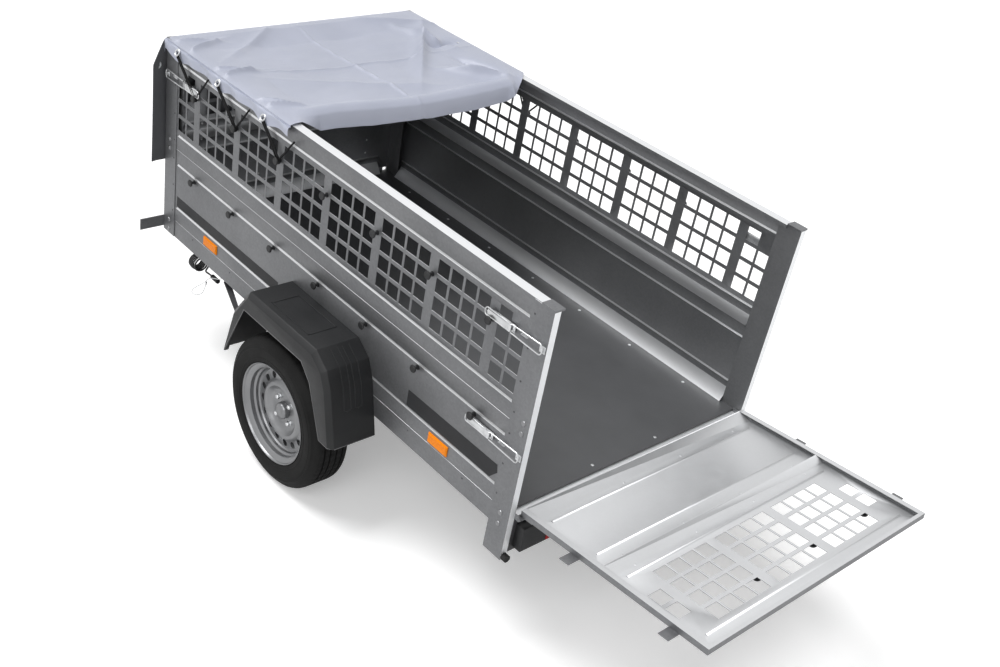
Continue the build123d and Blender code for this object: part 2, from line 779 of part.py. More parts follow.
fork_top = jockey_low - fork_drop
fork_inner = jockey_wheel_width / 2 + fork_gap
fork_outer = fork_inner + fork_gauge
wheel_x = jockey_x - jockey_trail
fork = rod_z(jockey_x, jockey_y, jockey_inner_radius, fork_top - fork_cap, jockey_low + jockey_insert)
fork += block((wheel_x - fork_half_length, jockey_x + fork_half_length),
              (jockey_y - fork_outer, jockey_y + fork_outer), (fork_top - fork_cap, fork_top))
eye_low = jockey_wheel_radius - fork_eye
cheek = [(wheel_x - fork_eye, eye_low), (wheel_x + fork_eye, eye_low),
         (jockey_x + fork_half_length, fork_top), (wheel_x - fork_half_length, fork_top)]
for near, far in ((fork_inner, fork_outer), (-fork_outer, -fork_inner)):
    fork += extruded_y(cheek, jockey_y + near, jockey_y + far)
fork += rod_y(wheel_x, jockey_wheel_radius, jockey_pin_radius, jockey_y - fork_inner, jockey_y + fork_inner)
add("jockey_fork", fork)
jockey_half = jockey_wheel_width / 2
tread_edge = jockey_wheel_radius - jockey_tread
jockey_wheel = Pos(wheel_x, jockey_y, jockey_wheel_radius) * spindle_form(
    [(tread_edge, -jockey_half), (jockey_wheel_radius, jockey_tread - jockey_half),
     (jockey_wheel_radius, jockey_half - jockey_tread), (tread_edge, jockey_half)], jockey_wheel_sides)
jockey_wheel -= rod_y(wheel_x, jockey_wheel_radius, jockey_pin_radius + jockey_running,
                      jockey_y - fork_inner, jockey_y + fork_inner)
add("jockey_wheel", jockey_wheel)

# Lamp panel between the rear legs, with lamps and triangular reflectors, and buffers on the legs
panel_half = half_width - plate - seat
panel_z = z_floor + panel_low
panel = block((panel_rear, frame_rear), (-panel_half, panel_half), (panel_z, z_floor + panel_high))
panel += block((panel_rear, frame_rear + panel_lip), (-panel_half, panel_half),
               (panel_z, panel_z + sill_wall))
add("lamp_panel", panel)
lamp_near, lamp_far = [share * panel_half for share in lamp_shares]
lamp = block((panel_rear - lamp_depth, panel_rear), (lamp_near, lamp_far),
             (panel_z + lamp_lift, panel_z + lamp_lift + lamp_height))
lamp = chamfer(lamp.faces().sort_by(Axis.X)[0].edges(), lamp_edge)
add("rear_lamp_left", lamp)
add("rear_lamp_right", right_of(lamp))
triangle_y = triangle_share * panel_half
triangle_z = panel_z + triangle_lift
triangle = extruded_x([(triangle_y - triangle_side / 2, triangle_z),
                       (triangle_y + triangle_side / 2, triangle_z),
                       (triangle_y, triangle_z + triangle_side * math.sqrt(3) / 2)],
                      panel_rear - triangle_depth, panel_rear)
add("rear_reflectors", triangle, right_of(triangle))
buffer_y = half_width - post_depth / 2
buffer_face = regular(buffer_y, z_floor + buffer_height, buffer_radius, buffer_sides)
buffer = extruded_x(buffer_face, -buffer_length, 0)
add("leg_buffers", buffer, right_of(buffer))

# Outrigger brackets at the front corners
bracket = block((box_length, box_length + plate), (half_width - post_depth, half_width + bracket_reach),
                (z_floor + bracket_low, z_floor + bracket_high))
add("marker_brackets", bracket, right_of(bracket))


# Tailgate, drawn shut between the rear posts and then laid open about its hinge
def laid_open(solid):
    """Turn a gate piece about the hinge from shut to its open rest."""
    turn = gate_open_tilt - 90
    return Pos(hinge_x, 0, hinge_z) * Rot(0, turn, 0) * Pos(-hinge_x, 0, -hinge_z) * solid


gate_span = (-gate_half, gate_half)
gate_bead = gate_half - post_side + post_depth
panel_wall = gate_prism(strip((0, sheet), (gate_bottom, gate_top)), *gate_span)
gate_beads = (bead_first, bead_second, bead_third, bead_fourth)
panel_wall = beaded(gate_prism, panel_wall, gate_beads, -gate_bead, gate_bead)
panel_wall += gate_prism(hem(gate_depth, gate_bottom, gate_bottom + foot_rise, sheet), *gate_span)
panel_wall += gate_prism(hem(gate_depth, board_split, board_split + hem_rise, sheet), *gate_span)
panel_wall += gate_prism(rail_section(gate_depth, gate_top), *gate_span)
gate_rim = gate_face + gate_depth
channel_plan = [(gate_face, gate_half), (gate_rim, gate_half), (gate_rim, gate_half - gate_flange)]
channel = extruded_z(folded(channel_plan, sheet), z_floor + gate_bottom, z_floor + gate_top)
panel_wall += [channel, right_of(channel)]
panel_wall -= mesh_cells(gate_prism, 0, end_bars, end_edge_rows)
add("gate_panel", laid_open(panel_wall))

keepers = []
for height in (latch_low, latch_high):
    z_pair = (z_floor + height - keeper_width / 2, z_floor + height + keeper_width / 2)
    keeper_y = (gate_half - gate_flange, gate_half + keeper_reach)
    keeper = block((gate_face - plate, gate_face), keeper_y, z_pair)
    keepers += [laid_open(keeper), laid_open(right_of(keeper))]
add("gate_keepers", *keepers)
add("gate_knobs", *[laid_open(Pos(gate_face, (bar - (end_bars - 1) / 2) * bar_pitch, z_floor + height)
                              * Rot(0, 0, 90) * knob())
                    for bar in range(end_bars) for height in (knob_low, knob_high)])

boss_outer = gate_half - sheet / 2
boss_inner = boss_outer - hinge_length
leaf = extruded_y(regular(hinge_x, hinge_z, hinge_boss, boss_sides), boss_inner, boss_outer)
leaf += block((gate_face - plate, gate_face), (boss_inner, boss_outer), (hinge_z, hinge_z + hinge_strap))
leaf -= rod_y(hinge_x, hinge_z, hinge_pin_radius + hinge_running, boss_inner - over, boss_outer + over)
add("gate_hinge_leaves", laid_open(leaf), laid_open(right_of(leaf)))
ear_span = (gate_half + hinge_ear_gap, post_inner - seat)
ear_low = z_floor - floor_thickness
ear = extruded_y([(hinge_x - hinge_ear_radius, hinge_z), (hinge_x, ear_low - sill_wall), (0, ear_low),
                  (floor_inset - seat, ear_low), (floor_inset - seat, hinge_z + hinge_ear_radius / 2),
                  (hinge_x, hinge_z + hinge_ear_radius)], *ear_span)
ear += rod_y(hinge_x, hinge_z, hinge_pin_radius, boss_inner - hinge_pin_end, gate_half + hinge_ear_gap)
add("gate_hinge_brackets", ear, right_of(ear))

# Cover sheet over the front part of the box, with side drops and a front flap
cover_low = z_floor + post_top + cap_height + seat
cover_inner = half_width + cap_grow + seat
cover_outer = cover_inner + cover_thickness
cover_front = box_length + cap_grow + seat
cover_top = cover_low + cover_thickness
cover = block((cover_back, cover_front + cover_thickness), (-cover_outer, cover_outer),
              (cover_low, cover_top))
drop = block((cover_back, cover_front + cover_thickness), (cover_inner, cover_outer),
             (cover_top - cover_drop, cover_top))
cover += [drop, right_of(drop)]
cover += block((cover_front, cover_front + cover_thickness), (-cover_outer, cover_outer),
               (cover_top - cover_flap, cover_top))
add("cover", cover)


# Cords under the left sill: cable with its coil and plug, and a wire with rounded corners
def rounded(points):
    """Line through the runs with every corner rounded, and the radius of each corner."""
    corners = [Vector(*point) for point in points]
    radii = []
    for before, here, after in zip(corners, corners[1:], corners[2:]):
        coming, going = here - before, after - here
        half_turn = math.radians(coming.get_angle(going)) / 2
        radii.append(round_share * min(coming.length, going.length) / math.tan(half_turn))
    print("corner radii", [round(radius, 1) for radius in radii])
    return FilletPolyline(*corners, radius=radii)


def tube_along(points, radius):
    """Cord of a many-sided section along rounded runs."""
    line = rounded(points)
    section = Plane(origin=line @ 0, z_dir=line % 0) * RegularPolygon(radius, cord_sides)
    return sweep(section, path=line)


def route(start, shares, reach):
    """Points of a cord's runs from its start."""
    x, y, z = start
    return [(x + ahead * reach, y + outwards * reach, z - down * reach) for ahead, outwards, down in shares]


cord_y = side_face - cord_inset
cord_z = z_floor + sill_bottom - seat
coil_z = z_floor - coil_drop
coil_back = coil_front - coil_length
coil_inner = coil_radius - 2 * cable_radius
add("cable_coil", Pos(coil_back, cord_y, coil_z) * Rot(0, 0, -90) * turned(
    [(coil_radius, 0), (coil_radius, coil_length), (coil_inner, coil_length), (coil_inner, 0)], coil_sides))
add("cable_tail", extruded_z(regular(coil_front - 2 * cable_radius, cord_y, cable_radius, cord_sides),
                             coil_z + coil_radius * math.cos(math.pi / coil_sides), cord_z))
lead_middle = coil_radius - cable_radius
lead_y = cord_y - lead_middle * math.cos(math.radians(lead_turn))
lead_z = coil_z - lead_middle * math.sin(math.radians(lead_turn))
plug_x = coil_back - lead_reach
add("cable_lead", extruded_x(regular(lead_y, lead_z, cable_radius, cord_sides), plug_x, coil_back))
add("cable_plug", extruded_x(regular(lead_y, lead_z, plug_radius, plug_sides), plug_x - plug_length, plug_x))
wire_points = route((wire_start, cord_y + wire_out, cord_z), wire_shares, wire_reach)
add("safety_wire", tube_along(wire_points, wire_radius))

# Put the origin on the ground under the middle of the length, and write the pieces
whole = Compound(children=[Compound(solid.solids()) for group in nodes.values() for solid in group])
extent = whole.bounding_box()
middle_x = (extent.min.X + extent.max.X) / 2
shift = Pos(-middle_x, 0, 0)
os.makedirs("parts", exist_ok=True)
for name, group in nodes.items():
    solids = [piece for solid in group for piece in (shift * solid).solids()]
    shape = solids[0] if len(solids) == 1 else Compound(children=solids)
    export_step(shape, f"parts/{name}.step")
print("middle_x", round(middle_x, 3), "extent", extent)
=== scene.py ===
"""Looks of a small single-axle utility trailer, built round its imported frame.

Every sub-assembly is a class whose fields are its sizes in metres. Places are given in the
frame of the load box (x forward from its rear face, y to the left, z up from the top of the
floor) and are moved to the frame of the whole trailer by Place.
"""

import json
import logging
import math
from dataclasses import dataclass
from enum import Enum
from typing import Iterable, Sequence

import bmesh
import bpy
from mathutils import Matrix, Vector, noise as noises

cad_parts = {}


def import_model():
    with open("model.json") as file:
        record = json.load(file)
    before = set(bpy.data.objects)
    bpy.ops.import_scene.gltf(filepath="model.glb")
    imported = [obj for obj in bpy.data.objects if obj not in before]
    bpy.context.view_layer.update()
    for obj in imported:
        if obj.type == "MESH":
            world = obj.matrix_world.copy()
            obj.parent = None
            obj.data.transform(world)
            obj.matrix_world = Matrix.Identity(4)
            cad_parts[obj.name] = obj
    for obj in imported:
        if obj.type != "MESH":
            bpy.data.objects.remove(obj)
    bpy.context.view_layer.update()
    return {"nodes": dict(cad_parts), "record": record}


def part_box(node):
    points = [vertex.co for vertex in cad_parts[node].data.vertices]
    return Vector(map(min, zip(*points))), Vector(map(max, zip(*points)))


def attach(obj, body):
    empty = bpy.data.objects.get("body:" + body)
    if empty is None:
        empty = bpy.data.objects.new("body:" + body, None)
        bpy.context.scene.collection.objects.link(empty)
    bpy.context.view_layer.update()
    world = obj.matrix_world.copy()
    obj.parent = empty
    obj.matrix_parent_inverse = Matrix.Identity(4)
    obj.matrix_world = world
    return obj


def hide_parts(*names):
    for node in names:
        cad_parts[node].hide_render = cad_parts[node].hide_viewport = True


log = logging.getLogger("trailer")
Point = tuple[float, float, float]
Pair = tuple[float, float]
Socket = bpy.types.NodeSocket
SIDES = (1, -1)
MERGE_GAP = 0.000002
BAR_MIDDLE = 1.027
BAR_PITCH = 0.2697


def linked(name: str, data: bpy.types.ID) -> bpy.types.Object:
    """Put an object into the scene.

    Args:
        name: Its name.
        data: Its mesh, curve, light or camera.

    Returns:
        The object.
    """
    thing = bpy.data.objects.new(name, data)
    bpy.context.scene.collection.objects.link(thing)
    return thing


def clamped(value: float) -> float:
    """Return a value held between 0 and 1."""
    return min(1.0, max(0.0, value))


def bar_x(bar: int) -> float:
    """Return how far forward a wide bar of the side mesh is, counted from the middle one."""
    return BAR_MIDDLE + bar * BAR_PITCH


class Body(Enum):
    """Bodies that a piece can ride on."""

    CHASSIS = "chassis"
    TAILGATE = "tailgate"
    WHEEL_LEFT = "wheel_left"
    WHEEL_RIGHT = "wheel_right"
    JOCKEY_WHEEL = "jockey_wheel"


@dataclass(frozen=True)
class Place:
    """Moves points from the frame of the load box to the frame of the whole trailer."""

    rear_x: float
    floor_z: float

    def at(self, x: float, y: float, z: float) -> Vector:
        """Return a point of the load box, given in metres, in the trailer's frame."""
        return Vector((x + self.rear_x, y, z + self.floor_z))


class Graph:
    """A material's node tree, with short calls to add and join its nodes."""

    def __init__(self, name: str) -> None:
        """Start a material with a single principled shader.

        Args:
            name: The material's name.
        """
        self.material = bpy.data.materials.new(name)
        self.material.use_nodes = True
        self.tree = self.material.node_tree
        self.shader = self.tree.nodes["Principled BSDF"]
        self.coords = self.tree.nodes.new("ShaderNodeTexCoord")

    def add(self, kind: str, **settings: object) -> bpy.types.Node:
        """Add a node.

        Args:
            kind: The node's type without its ShaderNode prefix.
            settings: Its properties, and its inputs by name with spaces as underscores.

        Returns:
            The new node.
        """
        node = self.tree.nodes.new("ShaderNode" + kind)
        for key, value in settings.items():
            socket = node.inputs.get(key.replace("_", " "))
            if socket is not None:
                socket.default_value = value
            else:
                setattr(node, key, value)
        return node

    def join(self, source: Socket, target: Socket) -> None:
        """Join two sockets."""
        self.tree.links.new(source, target)

    def feed(self, source: Socket, name: str) -> None:
        """Join a socket to an input of the shader."""
        self.join(source, self.shader.inputs[name])

    def give(self, **values: object) -> None:
        """Set inputs of the shader, by name with spaces as underscores."""
        for key, value in values.items():
            self.shader.inputs[key.replace("_", " ")].default_value = value

    def noise(self, scale: float, detail: float = 3.0) -> Socket:
        """Add a noise on object coordinates.

        Args:
            scale: Its scale per metre.
            detail: Its octaves.

        Returns:
            Its value socket.
        """
        noise = self.add("TexNoise", Scale=scale, Detail=detail)
        self.join(self.coords.outputs["Object"], noise.inputs["Vector"])
        return noise.outputs["Fac"]

    def mottle(self, scale: float, detail: float, dark: Point, light: Point) -> Socket:
        """Return a colour that a noise moves between dark and light."""
        return self.ramp(self.noise(scale, detail), ((0.3, dark), (0.7, light)))

    def cells(self, scale: float) -> bpy.types.Node:
        """Add a field of cells on object coordinates.

        Args:
            scale: Its scale per metre.

        Returns:
            Its node.
        """
        cells = self.add("TexVoronoi", Scale=scale)
        self.join(self.coords.outputs["Object"], cells.inputs["Vector"])
        return cells

    def ramp(self, source: Socket, stops: Sequence[tuple[float, Point]]) -> Socket:
        """Colour a value.

        Args:
            source: The value's socket.
            stops: Places from 0 to 1 and their colours.

        Returns:
            The colour's socket.
        """
        ramp = self.add("ValToRGB")
        elements = ramp.color_ramp.elements
        while len(elements) < len(stops):
            elements.new(0.5)
        for element, (place, colour) in zip(elements, stops):
            element.position = place
            element.color = (*colour, 1.0)
        self.join(source, ramp.inputs["Fac"])
        return ramp.outputs["Color"]

    def level(self, source: Socket, low: float, high: float) -> Socket:
        """Spread a value over another range.

        Args:
            source: The value's socket.
            low: What 0 becomes.
            high: What 1 becomes.

        Returns:
            The new value's socket.
        """
        spread = self.add("MapRange", To_Min=low, To_Max=high)
        self.join(source, spread.inputs["Value"])
        return spread.outputs["Result"]

    def bump(self, source: Socket, depth: float, strength: float = 1.0) -> None:
        """Raise the surface by a value.

        Args:
            source: The height's socket, from 0 to 1.
            depth: The height in metres at 1.
            strength: How strongly it shows.
        """
        bump = self.add("Bump", Strength=strength, Distance=depth)
        self.join(source, bump.inputs["Height"])
        self.feed(bump.outputs["Normal"], "Normal")

    def mixer(self, first: Socket) -> tuple[bpy.types.Node, Socket, Socket]:
        """Add a mix of two colours, with only the first one joined.

        Args:
            first: The first colour's socket.

        Returns:
            The node, the second colour's input and the mixed colour's output.
        """
        mix = self.add("Mix", data_type="RGBA")
        first_in, second_in = [socket for socket in mix.inputs if socket.type == "RGBA"]
        self.join(first, first_in)
        return mix, second_in, next(socket for socket in mix.outputs if socket.type == "RGBA")


@dataclass(frozen=True)
class Finish:
    """A finish with a mottled colour and a fine grain.

    Its colour goes between dark and light by a coarse noise, its roughness between the two
    values of rough, and its surface rises by grain metres at a noise of grain_scale.
    """

    name: str
    slot: str
    dark: Point
    light: Point
    metallic: float = 0.0
    rough: Pair = (0.45, 0.6)
    mottle_scale: float = 9.0
    grain_scale: float = 900.0
    grain: float = 0.00006
    gloss: float = 0.5

    def material(self) -> bpy.types.Material:
        """Make the finish.

        Returns:
            Its material.
        """
        graph = Graph(self.name)
        graph.give(Specular_IOR_Level=self.gloss, Metallic=self.metallic)
        graph.feed(graph.mottle(self.mottle_scale, 5.0, self.dark, self.light), "Base Color")
        graph.feed(graph.level(graph.noise(self.mottle_scale * 3), *self.rough), "Roughness")
        graph.bump(graph.noise(self.grain_scale, 2.0), self.grain)
        return graph.material


@dataclass(frozen=True)
class Galvanised:
    """Zinc-coated sheet: spangles over a soft mottle, mixed towards a pale colour as painted highlight where a
    face attribute says so.
    """

    name: str = "galvanised"
    slot: str = "galvanised"
    dark: Point = (0.15, 0.153, 0.16)
    light: Point = (0.225, 0.229, 0.237)
    # Pale colour of the painted highlight and painted reflection.
    highlight_colour: Point = (0.86, 0.87, 0.885)
    mottle_scale: float = 4.0
    spangle_scale: float = 150.0
    spangle_share: float = 0.4
    metallic: float = 0.75
    rough: Pair = (0.36, 0.5)
    rough_scale: float = 30.0
    grain_scale: float = 260.0
    grain: float = 0.00006
    grain_strength: float = 0.3

    def material(self) -> bpy.types.Material:
        """Make the finish.

        Returns:
            Its material.
        """
        graph = Graph(self.name)
        cells = graph.cells(self.spangle_scale).outputs["Color"]
        spangle = graph.ramp(cells, ((0.0, self.dark), (1.0, self.light)))
        zinc, second, colour = graph.mixer(graph.mottle(self.mottle_scale, 6.0, self.dark, self.light))
        zinc.inputs["Factor"].default_value = self.spangle_share
        graph.join(spangle, second)
        # Painted highlight: a face attribute, set from each face's normal, mixes the zinc towards the pale
        # colour.
        highlight_mix, second, colour = graph.mixer(colour)
        painted_highlight = graph.add("Attribute", attribute_name="painted_highlight")
        graph.join(painted_highlight.outputs["Fac"], highlight_mix.inputs["Factor"])
        second.default_value = (*self.highlight_colour, 1.0)
        graph.feed(colour, "Base Color")
        graph.give(Metallic=self.metallic)
        graph.feed(graph.level(graph.noise(self.rough_scale, 4.0), *self.rough), "Roughness")
        graph.bump(graph.noise(self.grain_scale, 2.0), self.grain, self.grain_strength)
        return graph.material


@dataclass(frozen=True)
class Lens:
    """Moulded lens: a satin face with small cells as its prisms."""

    name: str
    slot: str
    dark: Point
    light: Point
    prism_scale: float = 260.0
    prism_depth: float = 0.0006
    prism_strength: float = 0.5
    rough: float = 0.32
    gloss: float = 0.18

    def material(self) -> bpy.types.Material:
        """Make the finish.

        Returns:
            Its material.
        """
        graph = Graph(self.name)
        prisms = graph.cells(self.prism_scale).outputs["Distance"]
        graph.feed(graph.ramp(prisms, ((0.0, self.light), (1.0, self.dark))), "Base Color")
        graph.give(Roughness=self.rough, Specular_IOR_Level=self.gloss)
        graph.bump(prisms, self.prism_depth, self.prism_strength)
        return graph.material


@dataclass(frozen=True)
class Fabric:
    """Coated cloth: two crossed fine waves as its weave, over a soft mottle."""

    name: str
    slot: str
    dark: Point
    light: Point
    mottle_scale: float = 3.0
    weave_scale: float = 420.0
    weave_depth: float = 0.00025
    weave_strength: float = 0.35
    sheen: float = 0.1
    rough: Pair = (0.30, 0.40)
    rough_scale: float = 14.0

    def material(self) -> bpy.types.Material:
        """Make the finish.

        Returns:
            Its material.
        """
        graph = Graph(self.name)
        graph.feed(graph.mottle(self.mottle_scale, 4.0, self.dark, self.light), "Base Color")
        graph.give(Sheen_Weight=self.sheen)
        graph.feed(graph.level(graph.noise(self.rough_scale), *self.rough), "Roughness")
        threads = []
        for direction in ("X", "Y"):
            wave = graph.add("TexWave", Scale=self.weave_scale)
            wave.bands_direction = direction
            graph.join(graph.coords.outputs["Object"], wave.inputs["Vector"])
            threads.append(wave.outputs["Fac"])
        crossed = graph.add("Math", operation="MULTIPLY")
        graph.join(threads[0], crossed.inputs[0])
        graph.join(threads[1], crossed.inputs[1])
        graph.bump(crossed.outputs["Value"], self.weave_depth, self.weave_strength)
        return graph.material


class Paint(Enum):
    """The finishes of the trailer's pieces, each with the slot that it fills."""

    GALVANISED = Galvanised()
    FLOOR_SHEET = Finish("floor_sheet", "floor_sheet", (0.066, 0.068, 0.071), (0.076, 0.078, 0.082),
                         rough=(0.36, 0.46), grain=0.0002, grain_scale=420.0)
    DARK_STEEL = Finish("dark_steel", "dark_steel", (0.030, 0.030, 0.032), (0.055, 0.055, 0.06),
                        rough=(0.35, 0.55))
    RIM_SILVER = Finish("rim_silver", "rim_silver", (0.22, 0.223, 0.23), (0.27, 0.273, 0.28), metallic=0.85,
                        rough=(0.3, 0.4))
    TYRE = Finish("tyre", "tyre", (0.007, 0.007, 0.007), (0.012, 0.012, 0.012), rough=(0.6, 0.75),
                  grain=0.0002, gloss=0.12)
    RUBBER = Finish("rubber", "rubber", (0.010, 0.010, 0.010), (0.018, 0.018, 0.018), rough=(0.6, 0.8),
                    gloss=0.3)
    BLACK_PLASTIC = Finish("black_plastic", "black_plastic", (0.012, 0.0125, 0.0135), (0.018, 0.0185, 0.0195),
                           rough=(0.38, 0.52), grain_scale=1400.0, grain=0.00012, gloss=0.3)
    # Mid-grey lip on the black guards: painted highlight along their edges.
    LIP_HIGHLIGHT = Finish("lip_highlight", "black_plastic", (0.14, 0.141, 0.145), (0.18, 0.181, 0.185),
                       rough=(0.4, 0.5))
    LAMP_RED = Lens("lamp_red", "lamp_red", (0.20, 0.004, 0.004), (0.4, 0.012, 0.010))
    REFLECTOR_AMBER = Lens("reflector_amber", "reflector_amber", (0.74, 0.17, 0.0), (0.95, 0.29, 0.0))
    # Near-black cloth for the flap's inner side: painted shade where the flap faces the box.
    FLAP_SHADE = Fabric("cover_flap_shade", "cover_fabric", (0.055, 0.057, 0.062), (0.085, 0.087, 0.094))
    ZINC_WIRE = Finish("zinc_wire", "zinc_wire", (0.55, 0.56, 0.57), (0.68, 0.69, 0.70), metallic=0.85,
                       rough=(0.25, 0.36), mottle_scale=30.0)
    CABLE = Finish("cable", "cable", (0.014, 0.014, 0.015), (0.026, 0.026, 0.028), rough=(0.4, 0.55))
    ELASTIC = Finish("elastic", "rubber", (0.004, 0.004, 0.004), (0.010, 0.010, 0.011), rough=(0.65, 0.8),
                     mottle_scale=320.0, grain_scale=700.0, grain=0.0003, gloss=0.2)
    DECAL = Finish("band", "black_plastic", (0.016, 0.0165, 0.018), (0.022, 0.0225, 0.025), rough=(0.4, 0.5),
                   gloss=0.2)
    COVER_FABRIC = Fabric("cover_fabric", "cover_fabric", (0.40, 0.425, 0.515), (0.45, 0.475, 0.575))

    @property
    def slot(self) -> str:
        """Return the name of the slot that this finish fills."""
        return self.value.slot

    @classmethod
    def by_slot(cls) -> dict[str, "Paint"]:
        """Return the first finish of each slot."""
        return {paint.slot: paint for paint in reversed(cls)}


class Wardrobe:
    """Makes each finish once and dresses pieces in it."""

    def __init__(self) -> None:
        """Start with nothing made."""
        self.made: dict[str, bpy.types.Material] = {}

    def dress(self, piece: bpy.types.Object, paint: Paint) -> None:
        """Give a piece one finish.

        Args:
            piece: The object to dress.
            paint: Its finish.
        """
        if paint.name not in self.made:
            self.made[paint.name] = paint.value.material()
        piece.data.materials.clear()
        piece.data.materials.append(self.made[paint.name])
        paint.slot


class Form:
    """A mesh in the making, in the frame of the load box, in metres."""

    def __init__(self) -> None:
        """Start empty."""
        self.mesh = bmesh.new()

    def block(self, low: Point, high: Point, bevel: float = 0.0) -> list[bmesh.types.BMVert]:
        """Add a box between two corners.

        Args:
            low: Its lowest corner.
            high: Its highest corner.
            bevel: The width of its rounded edges.

        Returns:
            Its corners, or none where they were bevelled away.
        """
        corners = bmesh.ops.create_cube(self.mesh, size=1.0)["verts"]
        for corner in corners:
            corner.co = Vector((a + (b - a) * (v + 0.5) for a, b, v in zip(low, high, corner.co)))
        if bevel <= 0.0:
            return corners
        edges = list({edge for corner in corners for edge in corner.link_edges})
        bmesh.ops.bevel(self.mesh, geom=edges, offset=bevel, affect="EDGES", segments=2, profile=0.5,
                        material=-1)
        return []

    def rod(self, start: Point, end: Point, radius: float, sides: int = 10) -> None:
        """Add a round bar between two points.

        Args:
            start: The middle of one end.
            end: The middle of the other end.
            radius: Its radius.
            sides: How many sides it has.
        """
        first, last = Vector(start), Vector(end)
        run = last - first
        turn = run.to_track_quat("Z", "Y").to_matrix().to_4x4()
        bmesh.ops.create_cone(self.mesh, cap_ends=True, segments=sides, radius1=radius, radius2=radius,
                              depth=run.length, matrix=Matrix.Translation((first + last) / 2) @ turn)

    def run(self, points: Sequence[Point], radius: float, sides: int = 8) -> None:
        """Add a tube that follows a line of points.

        Args:
            points: The points of its middle line.
            radius: Its radius.
            sides: How many sides it has.
        """
        line = [Vector(point) for point in points]
        rings = []
        for i, here in enumerate(line):
            along = (line[min(i + 1, len(line) - 1)] - line[max(i - 1, 0)]).normalized()
            across = (along.orthogonal() if i == 0 else across - along * across.dot(along)).normalized()
            up = along.cross(across)
            rings.append([self.mesh.verts.new(here + radius * (math.cos(t) * across + math.sin(t) * up))
                          for t in (math.tau * k / sides for k in range(sides))])
        for a, b in zip(rings, rings[1:]):
            for k in range(sides):
                j = (k + 1) % sides
                self.mesh.faces.new((a[k], a[j], b[j], b[k]))
        self.mesh.faces.new(rings[0][::-1])
        self.mesh.faces.new(rings[-1])

    def lathe(self, profile: Iterable[Pair], centre: Point, axis: Point, steps: int,
              closed: bool = False) -> list[bmesh.types.BMFace]:
        """Add a turned shape.

        Args:
            profile: Pairs of radius and distance along the axis.
            centre: Where the axis starts.
            axis: The axis, of length one.
            steps: How many steps the turn has.
            closed: Whether the last pair joins the first.

        Returns:
            Its faces.
        """
        middle, along = Vector(centre), Vector(axis)
        across = along.orthogonal().normalized()
        before = set(self.mesh.faces)
        verts = [self.mesh.verts.new(middle + across * radius + along * far) for radius, far in profile]
        pairs = list(zip(verts, verts[1:])) + ([(verts[-1], verts[0])] if closed else [])
        edges = [self.mesh.edges.new(pair) for pair in pairs]
        bmesh.ops.spin(self.mesh, geom=verts + edges, cent=middle, axis=along, dvec=(0, 0, 0), angle=math.tau,
                       steps=steps, use_merge=True, use_duplicate=False)
        return [face for face in self.mesh.faces if face not in before]

    def prism(self, outline: Sequence[Pair], near: float, far: float) -> None:
        """Add a prism across y.

        Args:
            outline: Its corners as pairs of x and z.
            near: One end along y.
            far: The other end along y.
        """
        corners = [self.mesh.verts.new((x, near, z)) for x, z in outline]
        face = self.mesh.faces.new(corners)
        made = bmesh.ops.extrude_face_region(self.mesh, geom=[face])["geom"]
        bmesh.ops.translate(self.mesh, vec=(0, far - near, 0),
                            verts=[item for item in made if isinstance(item, bmesh.types.BMVert)])
        bmesh.ops.recalc_face_normals(self.mesh, faces=self.mesh.faces)

    def mirror_y(self) -> None:
        """Add the same again on the other side."""
        geometry = self.mesh.verts[:] + self.mesh.edges[:] + self.mesh.faces[:]
        made = bmesh.ops.duplicate(self.mesh, geom=geometry)["geom"]
        verts = [item for item in made if isinstance(item, bmesh.types.BMVert)]
        bmesh.ops.scale(self.mesh, vec=(1, -1, 1), verts=verts)
        faces = [item for item in made if isinstance(item, bmesh.types.BMFace)]
        bmesh.ops.reverse_faces(self.mesh, faces=faces)

    def turned(self, matrix: Matrix) -> "Form":
        """Move the whole form by a matrix and return it."""
        bmesh.ops.transform(self.mesh, matrix=matrix, verts=self.mesh.verts)
        return self

    def settle(self) -> None:
        """Merge what is doubled and point every face outwards."""
        bmesh.ops.remove_doubles(self.mesh, verts=self.mesh.verts, dist=MERGE_GAP)
        bmesh.ops.recalc_face_normals(self.mesh, faces=self.mesh.faces)

    def data(self, name: str) -> bpy.types.Mesh:
        """Use the form up.

        Args:
            name: The mesh's name.

        Returns:
            The form as an object's mesh.
        """
        data = bpy.data.meshes.new(name)
        self.mesh.to_mesh(data)
        self.mesh.free()
        return data


